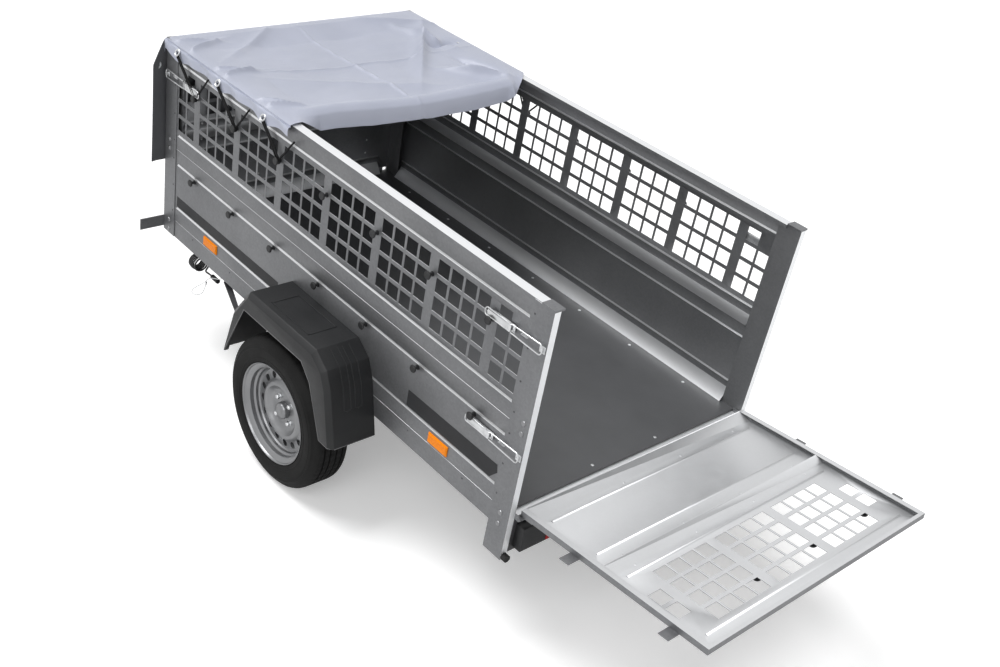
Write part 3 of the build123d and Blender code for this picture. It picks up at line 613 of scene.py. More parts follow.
@dataclass
class Workshop:
    """Turns forms into finished pieces that ride and are dressed."""

    place: Place
    wardrobe: Wardrobe
    nodes: dict[str, bpy.types.Object]
    crease: float = 32.0

    def piece(self, name: str, form: Form, paint: Paint, body: Body = Body.CHASSIS,
              stands_for: Sequence[str] = (), moved: bool = True) -> bpy.types.Object:
        """Finish a form.

        Args:
            name: The piece's name.
            form: Its mesh, which is used up.
            paint: Its finish.
            body: The body that it rides on.
            stands_for: The nodes that it replaces.
            moved: Whether the form is in the frame of the load box.

        Returns:
            The piece.
        """
        form.settle()
        if moved:
            bmesh.ops.translate(form.mesh, vec=self.place.at(0, 0, 0), verts=form.mesh.verts)
        data = form.data(name)
        data.shade_smooth()
        data.set_sharp_from_angle(angle=math.radians(self.crease))
        piece = linked(name, data)
        self.wardrobe.dress(piece, paint)
        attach(piece, body.value)
        if stands_for:
            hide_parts(*stands_for)
        log.info("%s: %d faces", name, len(data.polygons))
        return piece

    def softened(self, node: str, width: float, paint: Paint, body: Body = Body.CHASSIS,
                 segments: int = 3) -> bpy.types.Object:
        """Replace a node by a copy of it with rounded edges.

        Args:
            node: The node's name.
            width: The width of the rounding.
            paint: The copy's finish.
            body: The body that it rides on.
            segments: The steps of the rounding.

        Returns:
            The copy.
        """
        form = Form()
        form.mesh.from_mesh(self.nodes[node].data)
        bmesh.ops.remove_doubles(form.mesh, verts=form.mesh.verts, dist=0.00001)
        bmesh.ops.dissolve_limit(form.mesh, angle_limit=math.radians(1.0), verts=form.mesh.verts,
                                 edges=form.mesh.edges)
        edges = [edge for edge in form.mesh.edges
                 if edge.is_manifold and edge.calc_face_angle(0.0) > math.radians(20.0)]
        bmesh.ops.bevel(form.mesh, geom=edges, offset=width, affect="EDGES", segments=segments, profile=0.5,
                        material=-1, clamp_overlap=True)
        return self.piece(f"{node}_soft", form, paint, body, (node,), moved=False)


@dataclass
class Sheets:
    """Zinc sheets that carry a painted-highlight attribute: flanges, beads and the gate's inner side are
    painted lighter by the direction of their faces.
    """

    workshop: Workshop
    chassis: tuple[str, ...] = ("sill_left", "sill_right", "lower_board_left", "lower_board_right",
                                "lower_board_front", "upper_board_left", "upper_board_right",
                                "upper_board_front", "post_rear_left", "post_rear_right", "post_front_left",
                                "post_front_right", "extension_rear_left", "extension_rear_right",
                                "extension_front_left", "extension_front_right", "cross_members")
    tailgate: tuple[str, ...] = ("gate_panel",)
    # Thresholds and shares of the painted highlight, by the direction of each face.
    rearward: float = 0.9
    upward: float = 0.2
    sideways: float = 0.8
    slope_share: float = 0.35
    inner_share: float = 0.10
    upward_shares: tuple[tuple[str, float], ...] = (("board_front", 0.3), ("gate_panel", 0.62), ("", 0.85))

    def build(self) -> None:
        """Replace each sheet by a copy with the attribute."""
        for body, names in ((Body.CHASSIS, self.chassis), (Body.TAILGATE, self.tailgate)):
            for name in names:
                self.one(name, body)

    def one(self, name: str, body: Body) -> None:
        """Replace one sheet.

        Args:
            name: The node's name.
            body: The body that it rides on.
        """
        form = Form()
        form.mesh.from_mesh(self.workshop.nodes[name].data)
        piece = self.workshop.piece(f"{name}_zinc", form, Paint.GALVANISED, body, (name,), moved=False)
        # Face attribute of painted highlight, read by the galvanised material.
        painted_highlight = piece.data.attributes.new("painted_highlight", "FLOAT", "FACE")
        for face, value in zip(piece.data.polygons, painted_highlight.data):
            value.value = self.highlight_share(face.normal, face.center, name)

    def highlight_share(self, normal: Vector, centre: Vector, name: str) -> float:
        """Return how much painted highlight a face gets, from 0 to 1.

        Args:
            normal: The face's normal.
            centre: The face's middle.
            name: The node's name.

        Returns:
            Its share of the pale colour of the painted highlight.
        """
        if normal.x < -self.rearward and "rear" in name:
            return 1.0
        if normal.z > self.upward:
            share = next(share for part, share in self.upward_shares if part in name)
            return min(1.0, self.slope_share + normal.z) * share
        inner = normal.y * centre.y < 0.0 and abs(normal.y) > self.sideways
        return self.inner_share if inner else 0.0


@dataclass
class Lamps:
    """Rear lamps: dark housings with a red lens on the rear face, and a bare outer end."""

    workshop: Workshop
    bare: float = 0.105
    margin: float = 0.006
    lens_depth: float = 0.006
    proud: float = 0.004
    housing_edge: float = 0.0030
    lens_edge: float = 0.0025

    def build(self) -> None:
        """Make a housing and a lens in place of each lamp."""
        for label in ("left", "right"):
            node = f"rear_lamp_{label}"
            low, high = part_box(node)
            form = Form()
            form.block((low.x + self.proud, low.y, low.z), high, self.housing_edge)
            self.workshop.piece(f"{node}_housing", form, Paint.BLACK_PLASTIC, stands_for=(node,), moved=False)
            right_end, left_end = (self.margin, self.bare) if label == "left" else (self.bare, self.margin)
            form = Form()
            form.block((low.x, low.y + right_end, low.z + self.margin),
                       (low.x + self.lens_depth, high.y - left_end, high.z - self.margin), self.lens_edge)
            self.workshop.piece(f"{node}_lens", form, Paint.LAMP_RED, moved=False)


@dataclass
class Studio:
    """Pale floor, white surroundings, soft lights and the photograph's camera."""

    place: Place
    eye: Point = (-1.762, 2.661, 2.301)
    right: Point = (-0.6351, -0.7577, 0.1504)
    down: Point = (-0.4978, 0.2526, -0.8297)
    forward: Point = (0.5906, -0.6018, -0.5376)
    lens: float = 43.79
    sensor: float = 36.0
    shift: Pair = (0.0359, 0.014)
    far_clip: float = 100.0
    white: tuple[float, ...] = (1.0, 1.0, 1.0, 1.0)
    floor_colour: tuple[float, ...] = (0.95, 0.95, 0.95, 1.0)
    floor_size: float = 60.0
    floor_glow: float = 0.30
    ambient: float = 0.30
    sun: float = 2.25
    sun_angle: float = 34.0
    sun_way: Point = (-0.42, -0.24, -1.0)
    aim: Point = (0.0, 0.0, 0.6)
    lights: tuple[tuple[str, Point, float, float], ...] = (("key", (-2.4, 3.6, 3.6), 2.6, 75.0),
                                                           ("fill", (-4.5, -2.6, 2.4), 3.0, 30.0))

    def build(self) -> None:
        """Make the floor, the surroundings, the lights and the camera."""
        self.floor()
        self.surroundings()
        self.sunlight()
        for name, where, size, power in self.lights:
            self.light(name, where, size, power)
        self.camera()

    def floor(self) -> None:
        """Make the floor, with a weak glow that only the camera sees."""
        form = Form()
        bmesh.ops.create_grid(form.mesh, x_segments=1, y_segments=1, size=self.floor_size / 2)
        floor = linked("floor", form.data("floor"))
        graph = Graph("floor_paint")
        graph.give(Base_Color=self.floor_colour, Roughness=1.0, Specular_IOR_Level=0.0,
                   Emission_Color=self.white)
        seen = graph.add("LightPath").outputs["Is Camera Ray"]
        graph.feed(graph.level(seen, 0.0, self.floor_glow), "Emission Strength")
        floor.data.materials.append(graph.material)

    def surroundings(self) -> None:
        """Make the surroundings white to the camera and to reflections, and dimmer as a light."""
        world = bpy.data.worlds.new("studio")
        bpy.context.scene.world = world
        world.use_nodes = True
        tree = world.node_tree
        background = tree.nodes["Background"]
        path = tree.nodes.new("ShaderNodeLightPath")
        seen = path.outputs["Is Camera Ray"]
        for kind in ("Is Glossy Ray", "Is Transmission Ray"):
            either = tree.nodes.new("ShaderNodeMath")
            either.operation = "MAXIMUM"
            tree.links.new(seen, either.inputs[0])
            tree.links.new(path.outputs[kind], either.inputs[1])
            seen = either.outputs[0]
        strength = tree.nodes.new("ShaderNodeMapRange")
        strength.inputs["To Min"].default_value = self.ambient
        strength.inputs["To Max"].default_value = 1.0
        tree.links.new(seen, strength.inputs["Value"])
        tree.links.new(strength.outputs["Result"], background.inputs["Strength"])
        background.inputs["Color"].default_value = self.white

    def aimed(self, name: str, data: bpy.types.Light, way: Vector) -> bpy.types.Object:
        """Hang a light that shines along a direction.

        Args:
            name: The light's name.
            data: The light.
            way: The direction.

        Returns:
            Its object.
        """
        lamp = linked(name, data)
        lamp.rotation_mode = "QUATERNION"
        lamp.rotation_quaternion = way.to_track_quat("-Z", "Y")
        return lamp

    def sunlight(self) -> None:
        """Hang a wide soft sun that keeps the whole floor white."""
        data = bpy.data.lights.new("sun", "SUN")
        data.energy = self.sun
        data.angle = math.radians(self.sun_angle)
        self.aimed("sun", data, Vector(self.sun_way))

    def light(self, name: str, where: Point, size: float, power: float) -> None:
        """Hang a soft square light that points at the middle of the box.

        Args:
            name: The light's name.
            where: Its place in the frame of the whole trailer, in metres.
            size: Its side in metres.
            power: Its power in watts.
        """
        data = bpy.data.lights.new(name, "AREA")
        data.size = size
        data.energy = power
        self.aimed(name, data, Vector(self.aim) - Vector(where)).location = where

    def camera(self) -> None:
        """Stand the camera where the photograph was taken from."""
        data = bpy.data.cameras.new("camera")
        data.lens = self.lens
        data.sensor_width = self.sensor
        data.shift_x, data.shift_y = self.shift
        data.clip_end = self.far_clip
        camera = linked("camera", data)
        turn = Matrix((self.right, -Vector(self.down), -Vector(self.forward))).transposed()
        camera.matrix_world = Matrix.Translation(self.place.at(*self.eye)) @ turn.to_4x4()
        bpy.context.scene.camera = camera


@dataclass
class Frame:
    """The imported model's own nodes, each dressed in its finish."""

    nodes: dict[str, bpy.types.Object]
    slots: dict[str, str]
    wardrobe: Wardrobe

    def dress(self) -> None:
        """Give every node the finish of its slot."""
        paints = Paint.by_slot()
        for name, node in self.nodes.items():
            slot = self.slots.get(name, Paint.GALVANISED.slot)
            self.wardrobe.dress(node, paints.get(slot, Paint.GALVANISED))
            log.info("node %s wears %s", name, slot)


@dataclass
class Cords:
    """Lamp cable with its coil, led on to the plug, and the safety wire, all under the left sill."""

    workshop: Workshop
    cable: float = 0.007
    cable_length: float = 1.045
    wire: float = 0.003
    wire_length: float = 0.48
    coil_middle: Pair = (0.528, -0.104)
    coil_radius: float = 0.0295
    coil_ends: Pair = (1.855, 1.799)
    coil_turn: Pair = (20.0, 1950.0)
    turn_step: float = 27.0
    wire_start: Point = (1.632, 0.540, -0.0603)
    wire_reach: float = 0.238
    wire_shares: tuple[Point, ...] = ((0, 0, 0), (0.02, 0, 0.08), (0.3, -0.013, 0.195), (0.44, -0.021, 0.279),
                                      (0.58, -0.025, 0.44), (0.96, -0.04, 0.76), (1, -0.042, 0.87),
                                      (0.83, -0.05, 0.82), (0.62, -0.046, 0.66), (0.545, -0.04, 0.44))
    ferrule_back: float = 0.004
    ferrule_ahead: float = 0.008
    ferrule_radius: float = 0.0032

    def build(self) -> None:
        cable_points = self.cable_points()
        cable = self.curve("lamp_cable", cable_points, self.cable, Paint.CABLE)
        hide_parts("cable_tail", "cable_coil", "cable_lead")
        self.workshop.place.at(*cable_points[0])
        wire_points = self.wire_points()
        wire = self.curve("breakaway_wire", wire_points, self.wire, Paint.ZINC_WIRE)
        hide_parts("safety_wire")
        ferrule = self.ferrule(wire_points)
        self.workshop.place.at(*wire_points[0])

    def cable_points(self) -> list[Point]:
        """Lay the cable down from the sill, round the coil and on to the plug.

        Returns:
            Its control points in the frame of the load box.
        """
        middle_y, middle_z = self.coil_middle
        front, back = self.coil_ends
        start, end = self.coil_turn
        points = [(front, middle_y, -0.0603), (front, middle_y - 0.0005, -0.067)]
        turns = int((end - start) / self.turn_step)
        for i in range(turns + 1):
            share = i / turns
            turn = math.radians(start + (end - start) * share)
            radius = self.coil_radius + 0.0016 * math.sin(5.1 * turn / math.tau)
            points.append((front + (back - front) * share, middle_y - radius * math.sin(turn),
                           middle_z + radius * math.cos(turn)))
        return points + [(1.786, 0.5165, -0.1310), (1.772, 0.5140, -0.1298), (1.746, 0.51325, -0.12955)]

    def wire_points(self) -> list[Point]:
        """Lay the wire along under the sill, down and back in a loop.

        Returns:
            Its control points in the frame of the load box.
        """
        x, y, z = self.wire_start
        reach = self.wire_reach
        return [(x + ahead * reach, y + out * reach, z - down * reach)
                for ahead, out, down in self.wire_shares]

    def curve(self, name: str, points: Sequence[Point], diameter: float, paint: Paint) -> bpy.types.Object:
        """Make a cord on one smooth open spline.

        Args:
            name: The cord's name.
            points: Its control points in the frame of the load box.
            diameter: Its diameter.
            paint: Its finish.

        Returns:
            The cord.
        """
        data = bpy.data.curves.new(name, "CURVE")
        data.dimensions = "3D"
        data.bevel_depth = diameter / 2
        data.bevel_resolution = 3
        data.use_fill_caps = True
        spline = data.splines.new("NURBS")
        spline.points.add(len(points) - 1)
        for point, place in zip(spline.points, points):
            point.co = (*self.workshop.place.at(*place), 1.0)
        spline.order_u = 3
        spline.use_endpoint_u = True
        spline.resolution_u = 6
        cord = linked(name, data)
        self.workshop.wardrobe.dress(cord, paint)
        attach(cord, Body.CHASSIS.value)
        return cord

    def ferrule(self, points: Sequence[Point]) -> bpy.types.Object:
        """Make the crimp that closes the wire's loop at its far end.

        Args:
            points: The wire's control points.

        Returns:
            The crimp.
        """
        end, before = Vector(points[-1]), Vector(points[-2])
        along = (end - before).normalized()
        form = Form()
        form.rod(end - along * self.ferrule_back, end + along * self.ferrule_ahead, self.ferrule_radius, 12)
        return self.workshop.piece("wire_ferrule", form, Paint.ZINC_WIRE)


@dataclass
class Wheel:
    """Tyre with grooved tread, pressed rim with round vents, bolts and hub."""

    workshop: Workshop
    side: int
    axle: Point = (0.984, 0.657, -0.208)
    steps: int = 120
    grooves: tuple[float, ...] = (-0.036, -0.0125, 0.0125, 0.036)
    groove_half: float = 0.0032
    groove_depth: float = 0.006
    groove_slope: float = 0.0008
    crown: float = 0.2728
    sipe_from: float = 0.2688
    sipe_margin: float = 0.0030
    sipe_depth: float = 0.0012
    wall: float = 0.0026
    vent_circle: float = 0.127
    vent_radius: float = 0.0128
    vent_cut: float = 0.04
    vent_count: int = 16
    bolt_circle: float = 0.050
    bolt_count: int = 4

    def build(self) -> None:
        """Make the tyre, the rim, the bolts and the hub of this side."""
        label = "left" if self.side > 0 else "right"
        body = Body.WHEEL_LEFT if self.side > 0 else Body.WHEEL_RIGHT
        self.workshop.piece(f"tyre_{label}_tread", self.tyre(), Paint.TYRE, body, (f"tyre_{label}",))
        rim = self.workshop.piece(f"rim_{label}_pressed", self.rim(), Paint.RIM_SILVER, body,
                                  (f"rim_{label}",))
        self.cut_vents(rim, label)
        self.workshop.piece(f"hub_{label}_turned", self.hub(), Paint.RIM_SILVER, body, (f"hub_{label}",))
        self.workshop.piece(f"bolts_{label}", self.bolts(), Paint.ZINC_WIRE, body)

    @property
    def centre(self) -> Point:
        """Return the middle of the wheel."""
        x, y, z = self.axle
        return (x, y * self.side, z)

    @property
    def outward(self) -> Point:
        """Return the direction away from the box."""
        return (0.0, float(self.side), 0.0)

    def ring(self, count: int, radius: float) -> list[Point]:
        """Space places evenly on a circle round the axle.

        Args:
            count: How many there are.
            radius: The circle's radius.

        Returns:
            The places.
        """
        x, y, z = self.centre
        turns = [math.tau * (i + 0.5) / count for i in range(count)]
        return [(x + radius * math.cos(turn), y, z + radius * math.sin(turn)) for turn in turns]

    def tread_line(self) -> list[Pair]:
        """Draw the tread's section from the outer shoulder to the inner one.

        Returns:
            Its pairs of radius and distance along the axle.
        """
        line: list[Pair] = [(0.2685, 0.0565), (0.2712, 0.0515)]
        floor = self.crown - self.groove_depth
        for place in self.grooves[::-1]:
            near, far = place + self.groove_half, place - self.groove_half
            line += [(self.crown, near), (floor, near - self.groove_slope),
                     (floor, far + self.groove_slope), (self.crown, far)]
        return line + [(0.2712, -0.0515), (0.2685, -0.0565)]

    def tyre(self) -> Form:
        """Turn the tyre: ringed side walls, shoulders, ribs and sipes.

        Returns:
            Its form.
        """
        wall = [(0.1835, 0.0640), (0.1850, 0.0705), (0.1905, 0.0735), (0.1960, 0.0736), (0.1968, 0.0746),
                (0.2020, 0.0749), (0.2028, 0.0741), (0.2120, 0.0752), (0.2220, 0.0755), (0.2320, 0.0748),
                (0.2328, 0.0739), (0.2400, 0.0726), (0.2408, 0.0734), (0.2445, 0.0722), (0.2455, 0.0708),
                (0.2540, 0.0670), (0.2625, 0.0620)]
        form = Form()
        inner = [(radius, -far) for radius, far in wall[::-1]]
        bore = [(0.166, -0.060), (0.166, 0.060)]
        section = wall + self.tread_line() + inner + bore
        form.lathe(section, self.centre, self.outward, self.steps, closed=True)
        form.settle()
        self.sipe(form)
        return form

    def sipe(self, form: Form) -> None:
        """Press a sipe into every second step of the tread's ribs.

        Args:
            form: The tyre.
        """
        middle = Vector(self.centre)
        step = math.tau / self.steps
        cut = []
        for face in form.mesh.faces:
            spot = face.calc_center_median() - middle
            reach = math.hypot(spot.x, spot.z)
            turn = math.atan2(spot.z, spot.x) % math.tau
            if reach > self.sipe_from and int(turn / step) % 2 == 0 and face.normal.dot(spot) > 0.0:
                cut.append(face)
        bmesh.ops.inset_individual(form.mesh, faces=cut, thickness=self.sipe_margin, depth=-self.sipe_depth,
                                   use_even_offset=True)

    def rim(self) -> Form:
        """Press the rim's barrel and its domed disc.

        Returns:
            Both as one form.
        """
        form = Form()
        barrel = [(0.1815, 0.0718), (0.1800, 0.0722), (0.1780, 0.0700), (0.1760, 0.0650), (0.1660, 0.0600),
                  (0.1600, 0.0540), (0.1590, 0.0400), (0.1530, 0.0340), (0.1520, 0.0200), (0.1520, -0.0300),
                  (0.1600, -0.0400), (0.1600, -0.0600), (0.1760, -0.0660), (0.1815, -0.0718)]
        disc = [(0.1525, 0.0245), (0.1480, 0.0185), (0.1400, 0.0165), (0.1160, 0.0185), (0.1090, 0.0235),
                (0.1030, 0.0300), (0.0975, 0.0320), (0.0920, 0.0310), (0.0850, 0.0240), (0.0790, 0.0160),
                (0.0720, 0.0130), (0.0620, 0.0128), (0.0400, 0.0128), (0.0310, 0.0128)]
        for profile in (barrel, disc):
            faces = form.lathe(profile, self.centre, self.outward, self.steps)
            bmesh.ops.recalc_face_normals(form.mesh, faces=faces)
            bmesh.ops.solidify(form.mesh, geom=faces, thickness=self.wall)
        return form

    def cut_vents(self, rim: bpy.types.Object, label: str) -> None:
        """Cut the round vents through the disc.

        Args:
            rim: The rim's piece.
            label: The side's name.
        """
        form = Form()
        for x, y, z in self.ring(self.vent_count, self.vent_circle):
            form.rod((x, y, z), (x, y + self.vent_cut * self.side, z), self.vent_radius, 20)
        bmesh.ops.recalc_face_normals(form.mesh, faces=form.mesh.faces)
        bmesh.ops.translate(form.mesh, vec=self.workshop.place.at(0, 0, 0), verts=form.mesh.verts)
        cutter = linked(f"vents_{label}", form.data(f"vents_{label}"))
        cut = rim.modifiers.new("vents", "BOOLEAN")
        cut.operation = "DIFFERENCE"
        cut.object = cutter
        whole = bpy.data.meshes.new_from_object(rim.evaluated_get(bpy.context.evaluated_depsgraph_get()))
        rim.modifiers.clear()
        rim.data = whole
        bpy.data.objects.remove(cutter)

    def hub(self) -> Form:
        """Turn the drum with its flange and cap.

        Returns:
            Its form.
        """
        form = Form()
        profile = [(0.0132, -0.0378), (0.096, -0.0378), (0.099, -0.034), (0.099, -0.007), (0.093, -0.002),
                   (0.070, 0.0), (0.066, 0.0088), (0.0300, 0.0088), (0.0298, 0.0300), (0.0275, 0.0345),
                   (0.0240, 0.0372), (0.0160, 0.0392), (0.0132, 0.0394)]
        form.lathe(profile, self.centre, self.outward, 48, closed=True)
        cap = [(0.0, 0.0396), (0.0150, 0.0396), (0.0150, 0.0388), (0.0, 0.0388)]
        form.lathe(cap, self.centre, self.outward, 32)
        return form

    def bolts(self) -> Form:
        """Make the wheel bolts, each a hexagon on a conical collar.

        Returns:
            Their form.
        """
        collar = [(0.0115, 0.0130), (0.0100, 0.0165), (0.0, 0.0165)]
        head = [(0.0085, 0.0160), (0.0085, 0.0270), (0.0065, 0.0290), (0.0, 0.0290)]
        form = Form()
        for spot in self.ring(self.bolt_count, self.bolt_circle):
            form.lathe(collar, spot, self.outward, 16)
            form.lathe(head, spot, self.outward, 6)
        return form


@dataclass
class Mudguards:
    """Moulded guards with a recess frame, ribs on the rear slope and a rolled lip, painted mid-grey as a
    painted highlight along the edges.
    """

    workshop: Workshop
    middle: float = 0.974
    inner: float = 0.552
    outer: float = 0.732
    top: float = 0.173
    edge: float = 0.010
    recess_half: float = 0.110
    inner_margin: float = 0.030
    outer_margin: float = 0.040
    sunk: float = 0.0005
    raised: float = 0.0018
    bar: float = 0.005
    rib_width: float = 0.026
    rib_radius: float = 0.0021
    lip_radius: float = 0.0014

    def build(self) -> None:
        """Round the guards' edges and add what is moulded on them."""
        for label in ("left", "right"):
            self.workshop.softened(f"mudguard_{label}", self.edge, Paint.BLACK_PLASTIC)
        form = Form()
        self.recess(form)
        self.ribs(form)
        form.mirror_y()
        self.workshop.piece("guard_mouldings", form, Paint.BLACK_PLASTIC)
        form = Form()
        self.lip(form)
        form.mirror_y()
        # Painted highlight: the lip is dressed mid-grey.
        self.workshop.piece("guard_lip_highlights", form, Paint.LIP_HIGHLIGHT)

    def recess(self, form: Form) -> None:
        """Add the raised frame of the shallow field on the top.

        Args:
            form: The form that takes it.
        """
        low, high = self.top - self.sunk, self.top + self.raised
        near, far = self.inner + self.inner_margin, self.outer - self.outer_margin
        rear, front = self.middle - self.recess_half, self.middle + self.recess_half
        bar = self.bar
        for x_pair, y_pair in (((rear, front), (near, near + bar)), ((rear, front), (far - bar, far)),
                               ((rear, rear + bar), (near, far)), ((front - bar, front), (near, far))):
            form.block((x_pair[0], y_pair[0], low), (x_pair[1], y_pair[1], high), 0.0008)

    def ribs(self, form: Form) -> None:
        """Add two long U-shaped ribs side by side, down the rear slope.

        Args:
            form: The form that takes them.
        """
        slope = ((0.775, 0.1665), (0.7195, 0.1310), (0.6890, 0.0700), (0.6690, -0.0080))
        for start in (self.inner + 0.046, self.inner + 0.090):
            end = start + self.rib_width
            down = [(x, start, z) for x, z in slope]
            up = [(x, end, z) for x, z in slope[::-1]]
            foot = (slope[-1][0] - 0.0012, (start + end) / 2, slope[-1][1] - 0.006)
            form.run(down + [foot] + up, self.rib_radius, 8)

    def lip(self, form: Form) -> None:
        """Add the thin lip round the wheel arch and along the foot of the rear end, in mid-grey as a painted
        highlight on the black guard's edge.

        Args:
            form: The form that takes it.
        """
        y = self.outer - 0.0008
        arch = [(0.7035, y, -0.1275), (0.784, y, 0.050), (0.838, y, 0.102), (1.183, y, 0.100),
                (1.2935, y, -0.1275)]
        foot = [(0.6400, self.inner + 0.006, -0.1280), (0.6400, self.outer - 0.018, -0.1280),
                (0.6560, y, -0.1280), (0.7035, y, -0.1280)]
        for line in (arch, foot):
            form.run(line, self.lip_radius, 6)


@dataclass
class Gate:
    """Transforms pieces of the shut gate to its open rest."""

    hinge: Pair = (-0.015, -0.002)
    tilt: float = 5.4

    def laid(self) -> Matrix:
        """Turn from shut to open.

        Returns:
            The turn's matrix in the frame of the load box.
        """
        x, z = self.hinge
        turn = Matrix.Rotation(math.radians(self.tilt - 90.0), 4, "Y")
        return Matrix.Translation((x, 0, z)) @ turn @ Matrix.Translation((-x, 0, -z))


@dataclass
class Knobs:
    """Round cover knobs on the side boards and on the gate."""

    workshop: Workshop
    gate: Gate
    face: float = 0.552
    gate_face: float = -0.007
    heights: Pair = (0.237, 0.567)
    section: tuple[Pair, ...] = ((0.0085, 0.0), (0.0085, 0.0022), (0.0048, 0.0035), (0.0048, 0.0130),
                                 (0.0126, 0.0160), (0.0140, 0.0196), (0.0112, 0.0228), (0.0, 0.0229))

    def build(self) -> None:
        """Make the knobs of the sides and of the gate."""
        form = Form()
        for bar in range(-3, 4):
            for height in self.heights:
                form.lathe(self.section, (bar_x(bar), self.face, height), (0, 1, 0), 12)
        form.mirror_y()
        self.workshop.piece("side_knobs", form, Paint.BLACK_PLASTIC, stands_for=("cover_knobs",))
        form = Form()
        for bar in range(4):
            for height in self.heights:
                form.lathe(self.section, (self.gate_face, (bar - 1.5) * BAR_PITCH, height), (-1, 0, 0), 12)
        self.workshop.piece("gate_knobs_round", form.turned(self.gate.laid()), Paint.BLACK_PLASTIC,
                            Body.TAILGATE, ("gate_knobs",))


@dataclass
class Latches:
    """Toggle latches: base with rivets, lever, two wire loops, a spring and a hook.

    The blocks are rows of start and stop along the latch, near and far above the board's face,
    low and high about the latch's height, and the width of the rounded edges. The last one is the
    plate that carries the hook.
    """

    workshop: Workshop
    face: float = 0.5553
    places: tuple[Point, ...] = ((0.006, 1, 0.218), (0.006, 1, 0.587), (2.048, -1, 0.587))
    blocks: tuple[tuple[float, ...], ...] = (
        (0.118, 0.206, 0.0, 0.0018, -0.0125, 0.0125, 0.0006),
        (0.132, 0.176, 0.0, 0.0100, -0.0125, -0.0110, 0.0004),
        (0.132, 0.176, 0.0, 0.0100, 0.0110, 0.0125, 0.0004),
        (0.128, 0.226, 0.0070, 0.0092, -0.0085, 0.0085, 0.0007),
        (0.140, 0.152, 0.0020, 0.0100, -0.0100, 0.0100, 0.0010),
        (-0.002, 0.020, 0.0, 0.0016, -0.0110, 0.0110, 0.0006))
    hook: tuple[float, ...] = (0.006, 0.008, 0.0090, 0.0045, 0.0010)
    rivets: Pair = (0.124, 0.199)
    rivet: tuple[Pair, ...] = ((0.0036, 0.0), (0.0030, 0.0018), (0.0, 0.0024))
    wire_out: float = 0.0075
    wire_radius: float = 0.0021
    loops: tuple[tuple[float, ...], ...] = ((0.004, 0.128, 0.0165, 1), (0.128, 0.236, 0.0125, -1))
    coil: Pair = (0.062, 0.026)
    coil_radius: float = 0.0034
    coil_lift: float = 0.0075
    coil_wire: float = 0.0006
    coil_steps: int = 60
    turn_steps: int = 10

    def build(self) -> None:
        """Make all the latches of both sides."""
        wire, base = Form(), Form()
        for end, toward, height in self.places:
            self.one(wire, base, end, toward, height)
        wire.mirror_y()
        base.mirror_y()
        self.workshop.piece("latch_wires", wire, Paint.ZINC_WIRE)
        self.workshop.piece("latch_bases", base, Paint.ZINC_WIRE, stands_for=("toggle_latches",))

    def one(self, wire: Form, base: Form, end: float, toward: float, height: float) -> None:
        """Add one latch.

        Args:
            wire: The form that takes its wire.
            base: The form that takes its base and lever.
            end: Where the hook ends along x.
            toward: 1 where it runs forward, -1 where it runs back.
            height: Its height above the floor.
        """
        for start, stop, inner, outer, low, high, rounding in self.blocks:
            rear, front = sorted((end + toward * start, end + toward * stop))
            base.block((rear, self.face + inner, height + low), (front, self.face + outer, height + high),
                       rounding)
        behind, ahead, rise, half, rounding = self.hook
        base.block((rear + behind, self.face, height - half), (front - ahead, self.face + rise, height + half),
                   rounding)
        plate = self.blocks[0][3]
        for along in self.rivets:
            base.lathe(self.rivet, (end + toward * along, self.face + plate, height), (0, 1, 0), 10)
        self.bows(wire, end, toward, height)
        self.spring(wire, end, toward, height)

    def bows(self, wire: Form, end: float, toward: float, height: float) -> None:
        """Add the two wire loops of one latch.

        Args:
            wire: The form that takes them.
            end: Where the hook ends along x.
            toward: 1 where it runs forward, -1 where it runs back.
            height: Its height above the floor.
        """
        y = self.face + self.wire_out
        for start, stop, half, turned in self.loops:
            loop = []
            for i in range(9):
                turn = math.pi * (0.5 + i / 8)
                along = half * 0.6 * (1 + math.cos(turn))
                loop.append((end + toward * (start + along if turned > 0 else stop - along), y,
                             height + half * math.sin(turn)))
            foot = end + toward * (stop if turned > 0 else start)
            upper, lower = (foot, y, height + half * 0.8), (foot, y, height - half * 0.8)
            wire.run([upper] + loop + [lower], self.wire_radius, 8)

    def spring(self, wire: Form, end: float, toward: float, height: float) -> None:
        """Add the coiled spring of one latch.

        Args:
            wire: The form that takes it.
            end: Where the hook ends along x.
            toward: 1 where it runs forward, -1 where it runs back.
            height: Its height above the floor.
        """
        start, length = self.coil
        coil = []
        for i in range(self.coil_steps + 1):
            turn = math.tau * i / self.turn_steps
            coil.append((end + toward * (start + length * i / self.coil_steps),
                         self.face + self.wire_out + self.coil_radius * math.cos(turn),
                         height + self.coil_lift + self.coil_radius * math.sin(turn)))
        wire.run(coil, self.coil_wire, 5)


@dataclass
class Bands:
    """Plain dark bands stuck on the lower side boards, and thin bright tubes along the boards' fold edges as
    painted highlight.
    """

    workshop: Workshop
    face: float = 0.552
    thickness: float = 0.0004
    front_band: tuple[Pair, ...] = ((1.254, 0.079), (1.961, 0.079), (1.961, 0.121), (1.254, 0.121))
    rear_band: tuple[Pair, ...] = ((0.112, 0.079), (0.512, 0.079), (0.512, 0.138), (0.090, 0.138),
                                   (0.084, 0.112))

    def build(self) -> None:
        """Make the bands and the painted highlight along the fold edges of both sides."""
        form = Form()
        far = self.face + self.thickness
        for outline in (self.front_band, self.rear_band):
            form.prism(outline, self.face, far)
        form.mirror_y()
        self.workshop.piece("side_bands", form, Paint.DECAL)
        # Painted highlight: thin bright zinc tubes along the fold edges.
        form = Form()
        for height in (0.0112, 0.3112):
            form.run([(0.082, self.face, height), (1.972, self.face, height)], 0.0011, 6)
        form.mirror_y()
        self.workshop.piece("fold_highlights", form, Paint.ZINC_WIRE)


